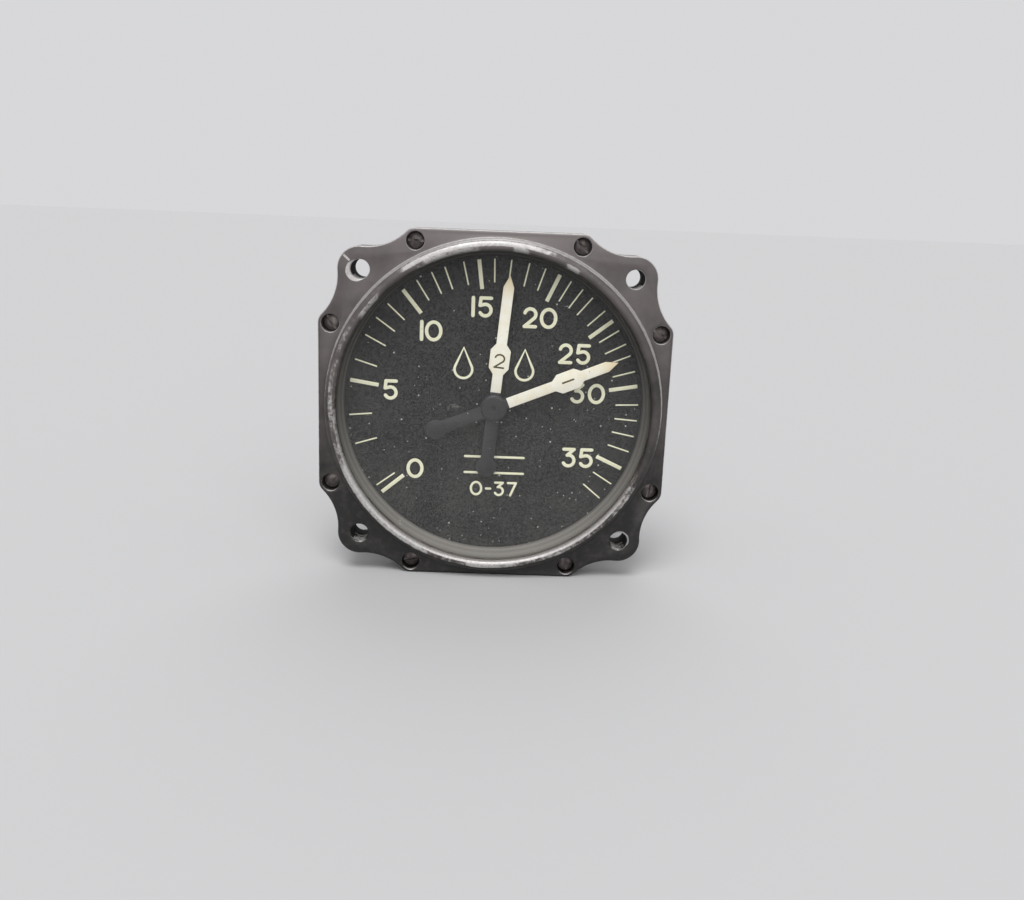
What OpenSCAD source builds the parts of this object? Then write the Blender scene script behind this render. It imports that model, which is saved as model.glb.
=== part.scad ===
// Aircraft oil quantity gauge with two coaxial pointers, for a standard 3 1/8 inch panel cut-out.
// Millimetres. The dial faces -Y and 12 o'clock is +Z. The origin is the centre of the flange's front face.
// Inside the modules X runs to the right, Y runs down and Z runs into the panel, so a depth is a Z value
// and a positive rotation about Z is clockwise as the reader sees the dial.

/* [Window and ring] */
// Clear diameter inside the bezel ring
window_d = 73.6; // [62:0.1:90]
// Radial width of the bezel ring, from the window to the foot of its outer wall
ring_w = 2.7; // [2.2:0.1:4]
// Thickness of the lip that holds the glass in
lip_t = 1.4; // [1:0.1:2]
// Radial overlap of the lip on the glass
lip_overlap = 1.35; // [1:0.05:1.6]

/* [Flange] */
// Distance from the foot of the ring to the flat side of the flange
flange_margin = 1.6; // [1.2:0.1:3]
// Thickness of the bezel's flange
flange_t = 5.0; // [4:0.1:7]
// Thickness of the case's flange
case_flange_t = 3.5; // [2.8:0.1:6]
// Diameter of the four panel mounting holes
mount_hole_d = 4.4; // [3.6:0.1:5]
// Metal left between the foot of the ring and a mounting hole
mount_hole_gap = 2.75; // [1.5:0.05:5]
// Metal left outside a mounting hole at the corner
corner_wall = 3.0; // [2:0.1:5]
// Radius of the hollow curve between a corner and its screw bosses
hollow_r = 13; // [9:0.5:24]

/* [Case screws] */
// Diameter of the counterbore over each case screw
counterbore_d = 4.2; // [3.9:0.1:4.6]
// Depth of that counterbore
counterbore_depth = 3.4; // [2.4:0.1:4]
// Wall between a counterbore and the flat side of the flange
counterbore_wall = 0.75; // [0.5:0.05:1.5]
// Metal left between the foot of the ring and a counterbore
counterbore_gap = 1.1; // [0.6:0.1:2]
// Diameter of the fillister heads
case_head_d = 3.7; // [3.2:0.1:3.8]
// Height of the fillister heads
case_head_h = 1.6; // [1.2:0.1:2]
// Diameter of the case screws' thread
case_screw_d = 2.2; // [1.8:0.1:2.4]

/* [Glass and dial] */
// Thickness of the cover glass
glass_t = 2.0; // [1.5:0.1:3]
// Thickness of the cork ring under the lip
glass_gasket_t = 0.5; // [0.3:0.1:0.8]
// Thickness of the gasket between bezel and case
flange_gasket_t = 0.5; // [0.3:0.1:1]
// Thickness of the dial plate
dial_t = 1.0; // [0.6:0.1:1.6]
// Free height for the pointers between dial and glass
pointer_room = 3.7; // [3.6:0.1:6]

/* [Pointers] */
// Distance from the pivot to a pointer's tip
pointer_len = 31.3; // [26:0.1:33]
// Thickness of a pointer blade
blade_t = 0.4; // [0.3:0.05:0.5]
// Width of a pointer arm
arm_w = 2.5; // [2:0.1:3]
// Width of the numbered lozenge on a pointer
lozenge_w = 4.75; // [4:0.05:6]
// Length of that lozenge
lozenge_len = 7.2; // [6:0.1:8]
// Length over which a lozenge narrows to the arm, at each end
lozenge_bevel = 1.45; // [1:0.05:2]
// Distance from the pivot to the centre of pointer 1's lozenge
lozenge_1_at = 18.8; // [17:0.1:21]
// Distance from the pivot to the centre of pointer 2's lozenge
lozenge_2_at = 11.6; // [9:0.1:13]
// Distance from the pivot to the centre of the round tail weight
tail_at = 14.8; // [10:0.1:17]
// Radius of the round tail weight
tail_r = 2.45; // [2:0.05:3]
// Dial angle of pointer 1 at rest, clockwise from 12 o'clock
pointer_1_rest = 67.5; // [-135:0.5:135]
// Dial angle of pointer 2 at rest, clockwise from 12 o'clock
pointer_2_rest = 5.15; // [-135:0.05:135]
// Dial angle at which each pointer meets its stop, on either side
stop_angle = 135; // [130:1:140]

/* [Shafts] */
// Diameter of the long shaft, which carries pointer 1
long_shaft_d = 1.5; // [1.2:0.1:2]
// Diameter of the hollow shaft, which carries pointer 2
hollow_shaft_d = 3.2; // [2.9:0.1:4]
// Running clearance of a shaft in its bush, on the radius
running_gap = 0.03; // [0.01:0.01:0.1]

/* [Case] */
// Free depth of the shallow bowl behind the flange
bowl_depth = 7.7; // [7:0.1:14]
// Wall of the bowl and floor
bowl_wall = 2.0; // [1.6:0.1:3]
// Width of the ledge that the dial rests on
ledge_w = 4.95; // [3:0.05:6]
// Radial room for the leads between the tie screws and the motor can
lead_space = 3.0; // [2.8:0.1:4]
// Wall of the motor can
can_wall = 2.5; // [2:0.1:3.5]
// Free length behind the last bearing plate
rear_room = 7.0; // [6.5:0.1:12]
// Thickness of the rear cover
cover_t = 2.2; // [1.6:0.1:4]

/* [Motors] */
// Distance between bearing plates, which each hold one motor between them
unit_len = 13.5; // [13:0.1:20]
// Thickness of a bearing plate
plate_t = 2.0; // [1.6:0.1:3]
// Outside radius of a stator ring
core_r = 17.0; // [14:0.1:18.5]
// Radial width of a stator ring
core_w = 5.0; // [4:0.1:5.4]
// Length of a stator ring along the shaft
core_len = 6.0; // [4:0.1:7]
// Depth of the winding on each side of the stator ring
winding_t = 1.3; // [1:0.1:1.5]

/* [Connector] */
// Outside diameter of the connector's barrel
barrel_d = 22.2; // [20:0.1:26]
// Wall of the barrel
barrel_wall = 1.5; // [1.2:0.1:2.5]
// Length of the barrel behind its square flange
barrel_len = 12.0; // [10:0.5:20]
// Width of the square flange
square_w = 30.2; // [28:0.1:32]
// Thickness of the square flange
square_t = 1.9; // [1.5:0.1:3]
// Number of contacts
pin_count = 6; // [3:1:8]
// Radius of the circle of contacts
pin_circle_r = 4.5; // [4:0.1:5.5]
// Diameter of a contact
pin_d = 1.6; // [1.2:0.1:2]
// Distance from the tips of the contacts to the barrel's mouth
pin_recess = 4.6; // [2:0.1:5]

/* [Hidden] */
$fn = 96;
cut = 0.05;
fit_gap = 0.02;
thread_gap = 0.02;
seat_gap = 0.15;
free_gap = 0.3;

// Radii of the window, the ring and what sits inside the bezel
window_r = window_d / 2;
ring_base_r = window_r + ring_w;
bore_r = window_r + lip_overlap;
glass_r = bore_r - seat_gap;

// Depths, counted from the front face of the flange
case_front = flange_t + flange_gasket_t;
dial_recess = 0.3;
dial_back = case_front + dial_recess;
dial_front = dial_back - dial_t;
glass_back = dial_front - pointer_room;
glass_front = glass_back - glass_t;
lip_back = glass_front - glass_gasket_t;
crest = lip_back - lip_t;
case_flange_back = case_front + case_flange_t;
bowl_floor = case_front + bowl_depth;
shoulder = bowl_floor + bowl_wall;
front_plate_at = bowl_floor - plate_t;
mid_plate_at = bowl_floor + unit_len;
rear_unit_at = mid_plate_at + plate_t;
rear_plate_at = rear_unit_at + unit_len;
rear_plate_back = rear_plate_at + plate_t;
can_back = rear_plate_back + rear_room;
cover_gasket_t = 0.4;
cover_front = can_back + cover_gasket_t;
cover_back = cover_front + cover_t;
connector_gasket_t = 0.5;
square_front = cover_back + connector_gasket_t;
square_back = square_front + square_t;
barrel_back = square_back + barrel_len;

// Flange outline: screw bosses on the flat sides, lobes round the mounting holes
flange_half = ring_base_r + flange_margin;
boss_r = counterbore_d / 2 + counterbore_wall;
case_screw_r = ring_base_r + counterbore_gap + counterbore_d / 2;
boss_y = flange_half - boss_r;
boss_x = sqrt(case_screw_r * case_screw_r - boss_y * boss_y);
mount_r = mount_hole_d / 2;
bolt_circle_r = ring_base_r + mount_hole_gap + mount_r;
lobe_at = bolt_circle_r * cos(45);
lobe_r = mount_r + corner_wall;

// Case
bowl_in_r = bore_r - ledge_w;
bowl_out_r = bowl_in_r + bowl_wall;
tie_r = core_r + 2.0;
can_in_r = tie_r + lead_space;
can_out_r = can_in_r + can_wall;
lug_r = 2.9;
lug_at = can_out_r + 2.1;
lug_len = 6;
cover_screw_len = 7.2;

// Movement
shield_t = 0.6;
shield_r = can_in_r - 0.1;
plate_r = shield_r - shield_t - free_gap;
front_plate_r = bowl_in_r - 2.2;
small_screw_r = 1.1;
small_head_r = 1.9;
small_head_h = 1.3;
plate_screw_r = (can_out_r + front_plate_r) / 2;
sleeve_r = 1.9;
ear_r = sleeve_r + 0.1;
wire_r = 0.45;
wire_at = tie_r + 1.2;
winding_in_r = core_r - core_w - winding_t;
winding_out_r = core_r + winding_t;
winding_half = core_len / 2 + winding_t + 0.5;
winding_angle = 96;
cup_t = 0.5;
cup_r = winding_in_r - free_gap;
magnet_r = cup_r - cup_t - 0.6;
magnet_len = core_len + 1;
rotor_hub_r = 3.0;
rotor_hub_len = magnet_len + 2.5;
long_shaft_r = long_shaft_d / 2;
hollow_shaft_r = hollow_shaft_d / 2;
hollow_bore_r = long_shaft_r + free_gap;
bush_wall = 1.0;
bush_flange_t = 0.8;

// Stops: the sector on each rotor lies opposite its pointer and meets a pin at 12 o'clock
stop_pin_r = 0.7;
stop_pin_at = 6.6;
sector_r = stop_pin_at + 1.0;
sector_t = 1.2;
sector_half = 180 - stop_angle - asin((stop_pin_r + free_gap) / stop_pin_at);

// Pointers
hub_r = 1.4;
hub_2_r = hollow_shaft_r + 0.4;
pointer_boss_r = 3.2;
hub_cap_r = pointer_boss_r - 0.1;
hub_cap_t = 0.3;
hub_1_front = glass_back + free_gap;
blade_1_front = hub_1_front + hub_cap_t;
hub_1_back = blade_1_front + blade_t + 0.4;
hub_2_front = hub_1_back + free_gap;
blade_2_front = hub_2_front + 0.1;
hub_2_back = dial_front - 0.5;
tip_taper = 2.8;
tail_w = 3.2;

// Connector
barrel_r = barrel_d / 2;
barrel_in_r = barrel_r - barrel_wall;
spigot_r = barrel_in_r + 0.7;
spigot_front = cover_front + 0.3;
insert_front = spigot_front + 0.4;
insert_back = square_back + 0.8;
pin_r = pin_d / 2;
pin_back = barrel_back - pin_recess;
solder_cup_r = pin_r + 0.15;
solder_cup_front = can_back - 1.8;
square_hole_at = square_w / 2 - 3.6;
square_screw_r = 1.4;

// Stands a piece drawn with its depth along Z upright, with that depth along +Y
module upright() rotate([-90, 0, 0]) children();

// Copies a piece to a dial angle, clockwise from 12 o'clock, at a radius
module at_clock(angle, r) rotate([0, 0, angle]) translate([0, -r, 0]) children();

module ring(r_out, r_in, from, to) {
    translate([0, 0, from]) difference() {
        cylinder(r = r_out, h = to - from);
        translate([0, 0, -cut]) cylinder(r = r_in, h = to - from + 2 * cut);
    }
}

module disc(r, from, to) translate([0, 0, from]) cylinder(r = r, h = to - from);

module hole(r, from, to) translate([0, 0, from - cut]) cylinder(r = r, h = to - from + 2 * cut);

// A slotted screw that enters along +Z, with the underside of its head at z = 0
module slotted_screw(head_r, head_h, shank_r, length, turn) {
    slot_w = head_r * 0.3;
    slot_depth = head_h * 0.45;
    difference() {
        rotate_extrude() polygon([
            [0, -head_h], [head_r - 0.25, -head_h], [head_r, -head_h + 0.25],
            [head_r, 0], [shank_r, 0], [shank_r, length - 0.3],
            [shank_r - 0.3, length], [0, length]
        ]);
        rotate([0, 0, turn]) translate([-head_r - cut, -slot_w / 2, -head_h - cut])
            cube([2 * head_r + 2 * cut, slot_w, slot_depth + cut]);
    }
}

function arc(c, r, a0, a1, steps) =
    [for (i = [0:steps]) c + r * [cos(a0 + (a1 - a0) * i / steps), sin(a0 + (a1 - a0) * i / steps)]];

function heading(v) = atan2(v[1], v[0]);

// Centre of the circle of radius r that touches circle (a, ra) and circle (b, rb) from outside
function touching_centre(a, ra, b, rb, r) =
    let (
        span = norm(b - a),
        along = ((ra + r) * (ra + r) - (rb + r) * (rb + r) + span * span) / (2 * span),
        out = sqrt((ra + r) * (ra + r) - along * along),
        unit = (b - a) / span
    ) a + unit * along + [-unit[1], unit[0]] * out;

// One eighth of the flange outline, from the flat side to the corner, drawn in by an inset
function outline_eighth(inset) =
    let (
        boss = [boss_x, boss_y],
        lobe = [lobe_at, lobe_at],
        hollow = touching_centre(boss, boss_r, lobe, lobe_r, hollow_r),
        to_boss = heading(boss - hollow),
        to_lobe = heading(lobe - hollow)
    ) concat(
        arc(boss, boss_r - inset, 90, to_boss + 180, 8),
        arc(hollow, hollow_r + inset, to_boss, to_lobe, 10),
        arc(lobe, lobe_r - inset, to_lobe + 180, 45, 10)
    );

function outline_quarter(inset) =
    let (eighth = outline_eighth(inset), n = len(eighth))
    concat(eighth, [for (i = [n - 2:-1:0]) [eighth[i][1], eighth[i][0]]]);

function turned(points, angle) =
    [for (p = points) [p[0] * cos(angle) - p[1] * sin(angle), p[0] * sin(angle) + p[1] * cos(angle)]];

function flange_outline(inset) =
    let (quarter = outline_quarter(inset))
    [for (side = [0:3]) each turned(quarter, -90 * side)];

module flange_slab(inset, from, to) {
    translate([0, 0, from]) linear_extrude(to - from) polygon(flange_outline(inset));
}

module at_mount_holes() for (a = [45:90:315]) at_clock(a, bolt_circle_r) children();

module at_case_screws() {
    for (a = [0:90:270]) rotate([0, 0, a]) for (side = [-1, 1])
        translate([side * boss_x, -boss_y, 0]) children();
}

module at_tie_screws() for (a = [0:120:240]) at_clock(a, tie_r) children();

module at_plate_screws() for (a = [60:120:300]) at_clock(a, plate_screw_r) children();

module at_lugs() for (a = [45:90:315]) at_clock(a, lug_at) children();

module at_square_holes() {
    for (x = [-1, 1]) for (y = [-1, 1])
        translate([x * square_hole_at, y * square_hole_at, 0]) children();
}

// Section of the raised ring: a rounded crest over the window and a short straight wall at its foot
module ring_section() {
    inner_round = 0.9;
    outer_round = 1.5;
    crest_r = ring_base_r - outer_round - 0.03;
    foot_fillet = 0.35;
    foot_wall = 0.7;
    polygon(concat(
        [[window_r, cut]],
        arc([window_r + inner_round, crest + inner_round], inner_round, 180, 270, 8),
        arc([crest_r, crest + outer_round], outer_round, 270, 345, 8),
        [[ring_base_r, -foot_wall], [ring_base_r, 0], [ring_base_r + foot_fillet, cut]]
    ));
}

module bezel() {
    color("#3b3636") difference() {
        union() {
            flange_slab(0, 0, flange_t);
            rotate_extrude() ring_section();
        }
        hole(bore_r, lip_back + cut, flange_t);
        hole(window_r, crest, flange_t);
        at_mount_holes() hole(mount_r, 0, flange_t);
        at_case_screws() {
            hole(counterbore_d / 2, 0, counterbore_depth - cut);
            hole(case_screw_d / 2 + seat_gap, 0, flange_t);
        }
    }
}

module glass_gasket() {
    color("#6b5a45") ring(glass_r, window_r + 0.1, lip_back, glass_front);
}

module cover_glass() {
    color("#dfe8ea", 0.25) disc(glass_r, glass_front, glass_back);
}

// The inner wall leans in a little towards the dial
module spacer_ring() {
    color("#4a4747") rotate_extrude() polygon([
        [window_r, glass_back], [glass_r, glass_back], [glass_r, dial_front], [window_r - 1.2, dial_front]
    ]);
}

module dial_plate() {
    color("#2a292b") ring(glass_r, hollow_shaft_r + 0.6, dial_front, dial_back);
}

module flange_gasket() {
    color("#5d4d3a") difference() {
        flange_slab(0.3, flange_t, case_front);
        hole(bore_r, flange_t, case_front);
        at_mount_holes() hole(mount_r + 0.1, flange_t, case_front);
        at_case_screws() hole(case_screw_d / 2 + seat_gap, flange_t, case_front);
    }
}

module case_body() {
    color("#2f2c2d") difference() {
        union() {
            flange_slab(0, case_front, case_flange_back);
            rotate_extrude() polygon(concat(
                [[0, case_flange_back - 1], [bowl_out_r + 0.8, case_flange_back - 1]],
                [[bowl_out_r + 0.8, case_flange_back], [bowl_out_r, case_flange_back + 0.8]],
                arc([bowl_out_r - 2, shoulder - 2], 2, 0, 90, 6),
                [[can_out_r + 1.2, shoulder], [can_out_r, shoulder + 1.2], [can_out_r, can_back]],
                [[0, can_back]]
            ));
            at_lugs() disc(lug_r, can_back - lug_len, can_back);
        }
        hole(bore_r, case_front, dial_back - cut);
        hole(bowl_in_r, case_front, bowl_floor - cut);
        hole(can_in_r, case_front, can_back);
        at_mount_holes() hole(mount_r, case_front, case_flange_back);
        at_case_screws() hole(case_screw_d / 2 + thread_gap, case_front, case_flange_back - 0.5);
        at_plate_screws() hole(small_screw_r + thread_gap, bowl_floor, shoulder - 0.4);
        at_lugs() hole(small_screw_r + thread_gap, can_back - lug_len + 1, can_back);
    }
}

module case_screws() {
    length = case_flange_back - 0.8 - counterbore_depth;
    color("#4a4647") at_case_screws() translate([0, 0, counterbore_depth])
        slotted_screw(case_head_d / 2, case_head_h, case_screw_d / 2, length, 10);
}

module front_plate() {
    color("#b9a05a") difference() {
        disc(front_plate_r, front_plate_at, bowl_floor);
        hole(hollow_shaft_r + bush_wall + fit_gap, front_plate_at, bowl_floor);
        at_plate_screws() hole(small_screw_r + seat_gap, front_plate_at, bowl_floor);
        at_tie_screws() hole(small_screw_r + thread_gap, front_plate_at, bowl_floor);
        at_clock(0, stop_pin_at) hole(stop_pin_r + fit_gap, front_plate_at, bowl_floor);
    }
}

module plate_screws() {
    length = shoulder - 0.6 - front_plate_at;
    color("#c9c4b8") at_plate_screws() translate([0, 0, front_plate_at])
        slotted_screw(small_head_r, small_head_h, small_screw_r, length, 35);
}

// A bearing plate with notches at its edge for the leads
module notched_plate(from, bush_r) {
    difference() {
        disc(plate_r, from, from + plate_t);
        hole(bush_r + fit_gap, from, from + plate_t);
        at_tie_screws() hole(small_screw_r + seat_gap, from, from + plate_t);
        for (a = [60:120:300]) for (side = [-3, 3])
            at_clock(a + side, wire_at) hole(wire_r + 0.5, from, from + plate_t);
    }
}

module mid_plate() {
    color("#b9a05a") notched_plate(mid_plate_at, hollow_shaft_r + bush_wall);
}

module rear_plate() {
    color("#b9a05a") difference() {
        notched_plate(rear_plate_at, long_shaft_r + bush_wall);
        at_clock(0, stop_pin_at) hole(stop_pin_r + fit_gap, rear_plate_at, rear_plate_back);
    }
}

// Long screws that hold the three plates and both stators together
module tie_screws() {
    length = rear_plate_back - front_plate_at - 0.4;
    color("#c9c4b8") at_tie_screws() translate([0, 0, rear_plate_back]) rotate([180, 0, 0])
        slotted_screw(small_head_r, small_head_h, small_screw_r, length, 20);
}

function unit_middle(unit_start) = unit_start + unit_len / 2;

module spacer_sleeves() {
    color("#c2a866") at_tie_screws() for (unit_start = [bowl_floor, rear_unit_at]) {
        middle = unit_middle(unit_start);
        ring(sleeve_r, small_screw_r + 0.1, unit_start, middle - core_len / 2);
        ring(sleeve_r, small_screw_r + 0.1, middle + core_len / 2, unit_start + unit_len);
    }
}

module front_bush() {
    outer = hollow_shaft_r + bush_wall;
    color("#c8a04a") difference() {
        union() {
            disc(outer, front_plate_at - bush_flange_t, bowl_floor);
            disc(outer + 1.2, front_plate_at - bush_flange_t, front_plate_at);
        }
        hole(hollow_shaft_r + running_gap, front_plate_at - bush_flange_t, bowl_floor);
    }
}

// Stepped bush: the hollow shaft ends in its wide bore and the long shaft runs in its narrow bore
module mid_bush() {
    outer = hollow_shaft_r + bush_wall;
    back = rear_unit_at + bush_flange_t;
    color("#c8a04a") difference() {
        union() {
            disc(outer, mid_plate_at, back);
            disc(outer + 1.2, rear_unit_at, back);
        }
        hole(hollow_shaft_r + running_gap, mid_plate_at, rear_unit_at - 0.7 - cut);
        hole(long_shaft_r + running_gap, mid_plate_at, back);
    }
}

module rear_bush() {
    outer = long_shaft_r + bush_wall;
    back = rear_plate_back + bush_flange_t;
    color("#c8a04a") difference() {
        union() {
            disc(outer, rear_plate_at, back);
            disc(outer + 1.2, rear_plate_back, back);
        }
        hole(long_shaft_r + running_gap, rear_plate_at, back);
    }
}

// Laminated ring with three ears, which the sleeves clamp
module stator_core(unit_start) {
    from = unit_middle(unit_start) - core_len / 2;
    to = from + core_len;
    difference() {
        union() {
            disc(core_r, from, to);
            at_tie_screws() {
                disc(ear_r, from, to);
                translate([-ear_r, 0, from]) cube([2 * ear_r, tie_r - core_r + core_w / 2, core_len]);
            }
        }
        hole(core_r - core_w, from, to);
        at_tie_screws() hole(small_screw_r + 0.1, from, to);
    }
}

module front_stator_core() color("#6f7276") stator_core(bowl_floor);

module rear_stator_core() color("#6f7276") stator_core(rear_unit_at);

// Three windings round the stator ring, one between each pair of ears
module stator_coils(unit_start) {
    middle = unit_middle(unit_start);
    for (a = [0:120:240]) rotate([0, 0, a - 90 + (120 - winding_angle) / 2])
        rotate_extrude(angle = winding_angle) difference() {
            translate([winding_in_r, middle - winding_half])
                square([winding_out_r - winding_in_r, 2 * winding_half]);
            translate([core_r - core_w - fit_gap, middle - core_len / 2 - fit_gap])
                square([core_w + 2 * fit_gap, core_len + 2 * fit_gap]);
        }
}

module front_stator_coils() color("#a4532c") stator_coils(bowl_floor);

module rear_stator_coils() color("#a4532c") stator_coils(rear_unit_at);

// Copper cup round a magnet, held by its rim on the plate in front of it
module damping_cup(unit_start) {
    ring(cup_r, cup_r - cup_t, unit_start, unit_middle(unit_start) + winding_half);
    ring(cup_r + 1.6, cup_r - cup_t, unit_start, unit_start + 0.6);
}

module front_damping_cup() color("#b5673a") damping_cup(bowl_floor);

module rear_damping_cup() color("#b5673a") damping_cup(rear_unit_at);

module front_stop_pin() {
    color("#c9c4b8") at_clock(0, stop_pin_at)
        disc(stop_pin_r, front_plate_at - bush_flange_t - free_gap - sector_t - 1.6, bowl_floor - 0.3);
}

module rear_stop_pin() {
    color("#c9c4b8") at_clock(0, stop_pin_at)
        disc(stop_pin_r, rear_plate_at + 0.3, rear_plate_back + bush_flange_t + free_gap + sector_t + 0.8);
}

module magnetic_shield() {
    color("#8b8d90") ring(shield_r, shield_r - shield_t, bowl_floor, can_back - 0.4);
}

function unit(v) = v / norm(v);

function clock_point(angle, r, depth) = [r * sin(angle), -r * cos(angle), depth];

// Direction of a run at point i, halfway between the stretches that meet there
function run_direction(points, i) =
    i == 0 ? unit(points[1] - points[0]) :
    i == len(points) - 1 ? unit(points[i] - points[i - 1]) :
    unit(unit(points[i] - points[i - 1]) + unit(points[i + 1] - points[i]));

// A round wire along a run of points; side is a direction that the run never takes
module wire_run(points, side) {
    sides = 8;
    n = len(points);
    rings = [for (i = [0:n - 1])
        let (t = run_direction(points, i), v = unit(cross(t, side)), u = cross(v, t))
        for (k = [0:sides - 1])
            points[i] + wire_r * (cos(360 * k / sides) * u + sin(360 * k / sides) * v)];
    walls = [for (i = [0:n - 2]) for (k = [0:sides - 1])
        let (a = i * sides + k, b = i * sides + (k + 1) % sides)
        each [[a, b, a + sides], [b, b + sides, a + sides]]];
    ends = [for (k = [1:sides - 2]) each [
        [0, k + 1, k],
        [(n - 1) * sides, (n - 1) * sides + k, (n - 1) * sides + k + 1]
    ]];
    polyhedron(rings, concat(walls, ends));
}

// A lead from the outside of a winding, along the can and across to its solder cup
module lead(angle, pin_angle, start) {
    bend = 0.8;
    wire_run([
        clock_point(angle, winding_out_r + 0.1, start),
        clock_point(angle, wire_at - bend, start),
        clock_point(angle, wire_at, start + bend),
        clock_point(angle, wire_at, rear_plate_back + 1.4),
        clock_point(angle, wire_at - bend, rear_plate_back + 2.2),
        clock_point(pin_angle, pin_circle_r + bend, solder_cup_front - 1.4),
        clock_point(pin_angle, pin_circle_r, solder_cup_front - 0.4),
        clock_point(pin_angle, pin_circle_r, solder_cup_front + 0.9)
    ], [cos(angle), sin(angle), 0]);
}

module lead_wires() {
    color("#7d2f26") for (a = [60:120:300]) {
        lead(a - 3, a - 30, unit_middle(bowl_floor) + 2);
        lead(a + 3, a + 30, unit_middle(rear_unit_at) + 2);
    }
}

module rear_cover() {
    color("#2f2c2d") difference() {
        union() {
            disc(can_out_r, cover_front, cover_back);
            at_lugs() disc(lug_r, cover_front, cover_back);
        }
        hole(spigot_r + seat_gap, cover_front, cover_back);
        at_lugs() hole(small_screw_r + seat_gap, cover_front, cover_back);
        at_square_holes() hole(square_screw_r + thread_gap, cover_front, cover_back);
    }
}

module cover_gasket() {
    color("#5d4d3a") difference() {
        union() {
            disc(can_out_r - 0.2, can_back, cover_front);
            at_lugs() disc(lug_r - 0.2, can_back, cover_front);
        }
        hole(can_in_r, can_back, cover_front);
        at_lugs() hole(small_screw_r + seat_gap, can_back, cover_front);
    }
}

module cover_screws() {
    color("#8a8581") at_lugs() translate([0, 0, cover_back]) rotate([180, 0, 0])
        slotted_screw(2.0, 1.5, small_screw_r, cover_screw_len, 60);
}

module connector_gasket() {
    color("#1f1d1c") difference() {
        translate([-square_w / 2 + 0.3, -square_w / 2 + 0.3, cover_back])
            cube([square_w - 0.6, square_w - 0.6, connector_gasket_t]);
        hole(spigot_r + seat_gap, cover_back, square_front);
        at_square_holes() hole(square_screw_r + 0.1, cover_back, square_front);
    }
}

module connector_shell() {
    key_w = 1.6;
    key_h = 1.0;
    color("#9a9688") difference() {
        union() {
            difference() {
                union() {
                    translate([-square_w / 2, -square_w / 2, square_front])
                        cube([square_w, square_w, square_t]);
                    disc(spigot_r, spigot_front, square_front + cut);
                    disc(barrel_r, square_front, barrel_back);
                }
                hole(barrel_in_r, insert_front + cut, barrel_back);
            }
            translate([-key_w / 2, -barrel_in_r - 0.3, insert_back + 0.3])
                cube([key_w, key_h + 0.3, barrel_back - 1 - insert_back - 0.3]);
        }
        hole(barrel_in_r - 0.6, spigot_front, barrel_back - barrel_len);
        at_square_holes() hole(square_screw_r + 0.1, square_front, square_back);
    }
}

module connector_insert() {
    color("#1b1a19") difference() {
        disc(barrel_in_r - 0.05, insert_front, insert_back);
        for (i = [0:pin_count - 1]) at_clock(30 + i * 360 / pin_count, pin_circle_r)
            hole(pin_r + fit_gap, insert_front, insert_back);
    }
}

// Contacts with a rounded tip outside and a hollow cup inside for the soldered lead
module connector_pins() {
    tip = 0.6;
    color("#cdbb7a") for (i = [0:pin_count - 1]) at_clock(30 + i * 360 / pin_count, pin_circle_r)
        rotate_extrude() polygon(concat(
            [[0, solder_cup_front + 1.1], [wire_r + 0.15, solder_cup_front + 1.1]],
            [[wire_r + 0.15, solder_cup_front], [solder_cup_r, solder_cup_front]],
            [[solder_cup_r, insert_front - 0.2], [pin_r, insert_front - 0.2]],
            arc([pin_r - tip, pin_back - tip], tip, 0, 90, 6),
            [[0, pin_back]]
        ));
}

module connector_screws() {
    color("#8a8581") at_square_holes() translate([0, 0, square_back]) rotate([180, 0, 0])
        slotted_screw(2.6, 1.6, square_screw_r, square_back - cover_front - 0.1, 25);
}

// Arm with a spear tip, numbered lozenge, round centre and weighted tail, pointing to 12 o'clock
module pointer_outline(lozenge_at) {
    half = arm_w / 2;
    near = lozenge_at - lozenge_len / 2;
    far = lozenge_at + lozenge_len / 2;
    left = [
        [-half, 0], [-half, -near], [-lozenge_w / 2, -near - lozenge_bevel],
        [-lozenge_w / 2, -far + lozenge_bevel], [-half, -far], [-half, -pointer_len + tip_taper]
    ];
    right = [for (i = [len(left) - 1:-1:0]) [-left[i][0], left[i][1]]];
    polygon(concat(left, [[0, -pointer_len]], right));
    circle(r = pointer_boss_r);
    translate([-tail_w / 2, 0]) square([tail_w, tail_at]);
    translate([0, tail_at]) circle(r = tail_r);
}

module pointer_blade(angle, from, lozenge_at, hole_r) {
    color("#efebc3") rotate([0, 0, angle]) translate([0, 0, from]) linear_extrude(blade_t) difference() {
        pointer_outline(lozenge_at);
        circle(r = hole_r);
    }
}

module pointer_1_blade() pointer_blade(pointer_1_rest, blade_1_front, lozenge_1_at, hub_r + fit_gap);

module pointer_2_blade() pointer_blade(pointer_2_rest, blade_2_front, lozenge_2_at, hub_2_r + fit_gap);

module pointer_1_hub() {
    color("#1c1b1c") difference() {
        union() {
            disc(hub_r, hub_1_front, hub_1_back);
            disc(hub_cap_r, hub_1_front, blade_1_front);
            disc(pointer_boss_r - 0.4, blade_1_front + blade_t, hub_1_back);
        }
        hole(long_shaft_r + fit_gap, hub_1_front, hub_1_back);
    }
}

module pointer_2_hub() {
    color("#1c1b1c") difference() {
        union() {
            disc(hub_2_r, hub_2_front, hub_2_back);
            disc(pointer_boss_r - 0.4, blade_2_front + blade_t, hub_2_back);
        }
        hole(hollow_shaft_r + fit_gap, hub_2_front, hub_2_back);
    }
}

module long_shaft() {
    color("#d2cfc6")
        disc(long_shaft_r, hub_1_front, rear_plate_back + bush_flange_t + free_gap + sector_t + 1.0);
}

module hollow_shaft() {
    color("#d2cfc6") ring(hollow_shaft_r, hollow_bore_r, hub_2_front, rear_unit_at - 0.7 - free_gap);
}

module rotor_hub(unit_start, shaft_r) {
    middle = unit_middle(unit_start);
    ring(rotor_hub_r, shaft_r + fit_gap, middle - rotor_hub_len / 2, middle + rotor_hub_len / 2);
}

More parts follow.
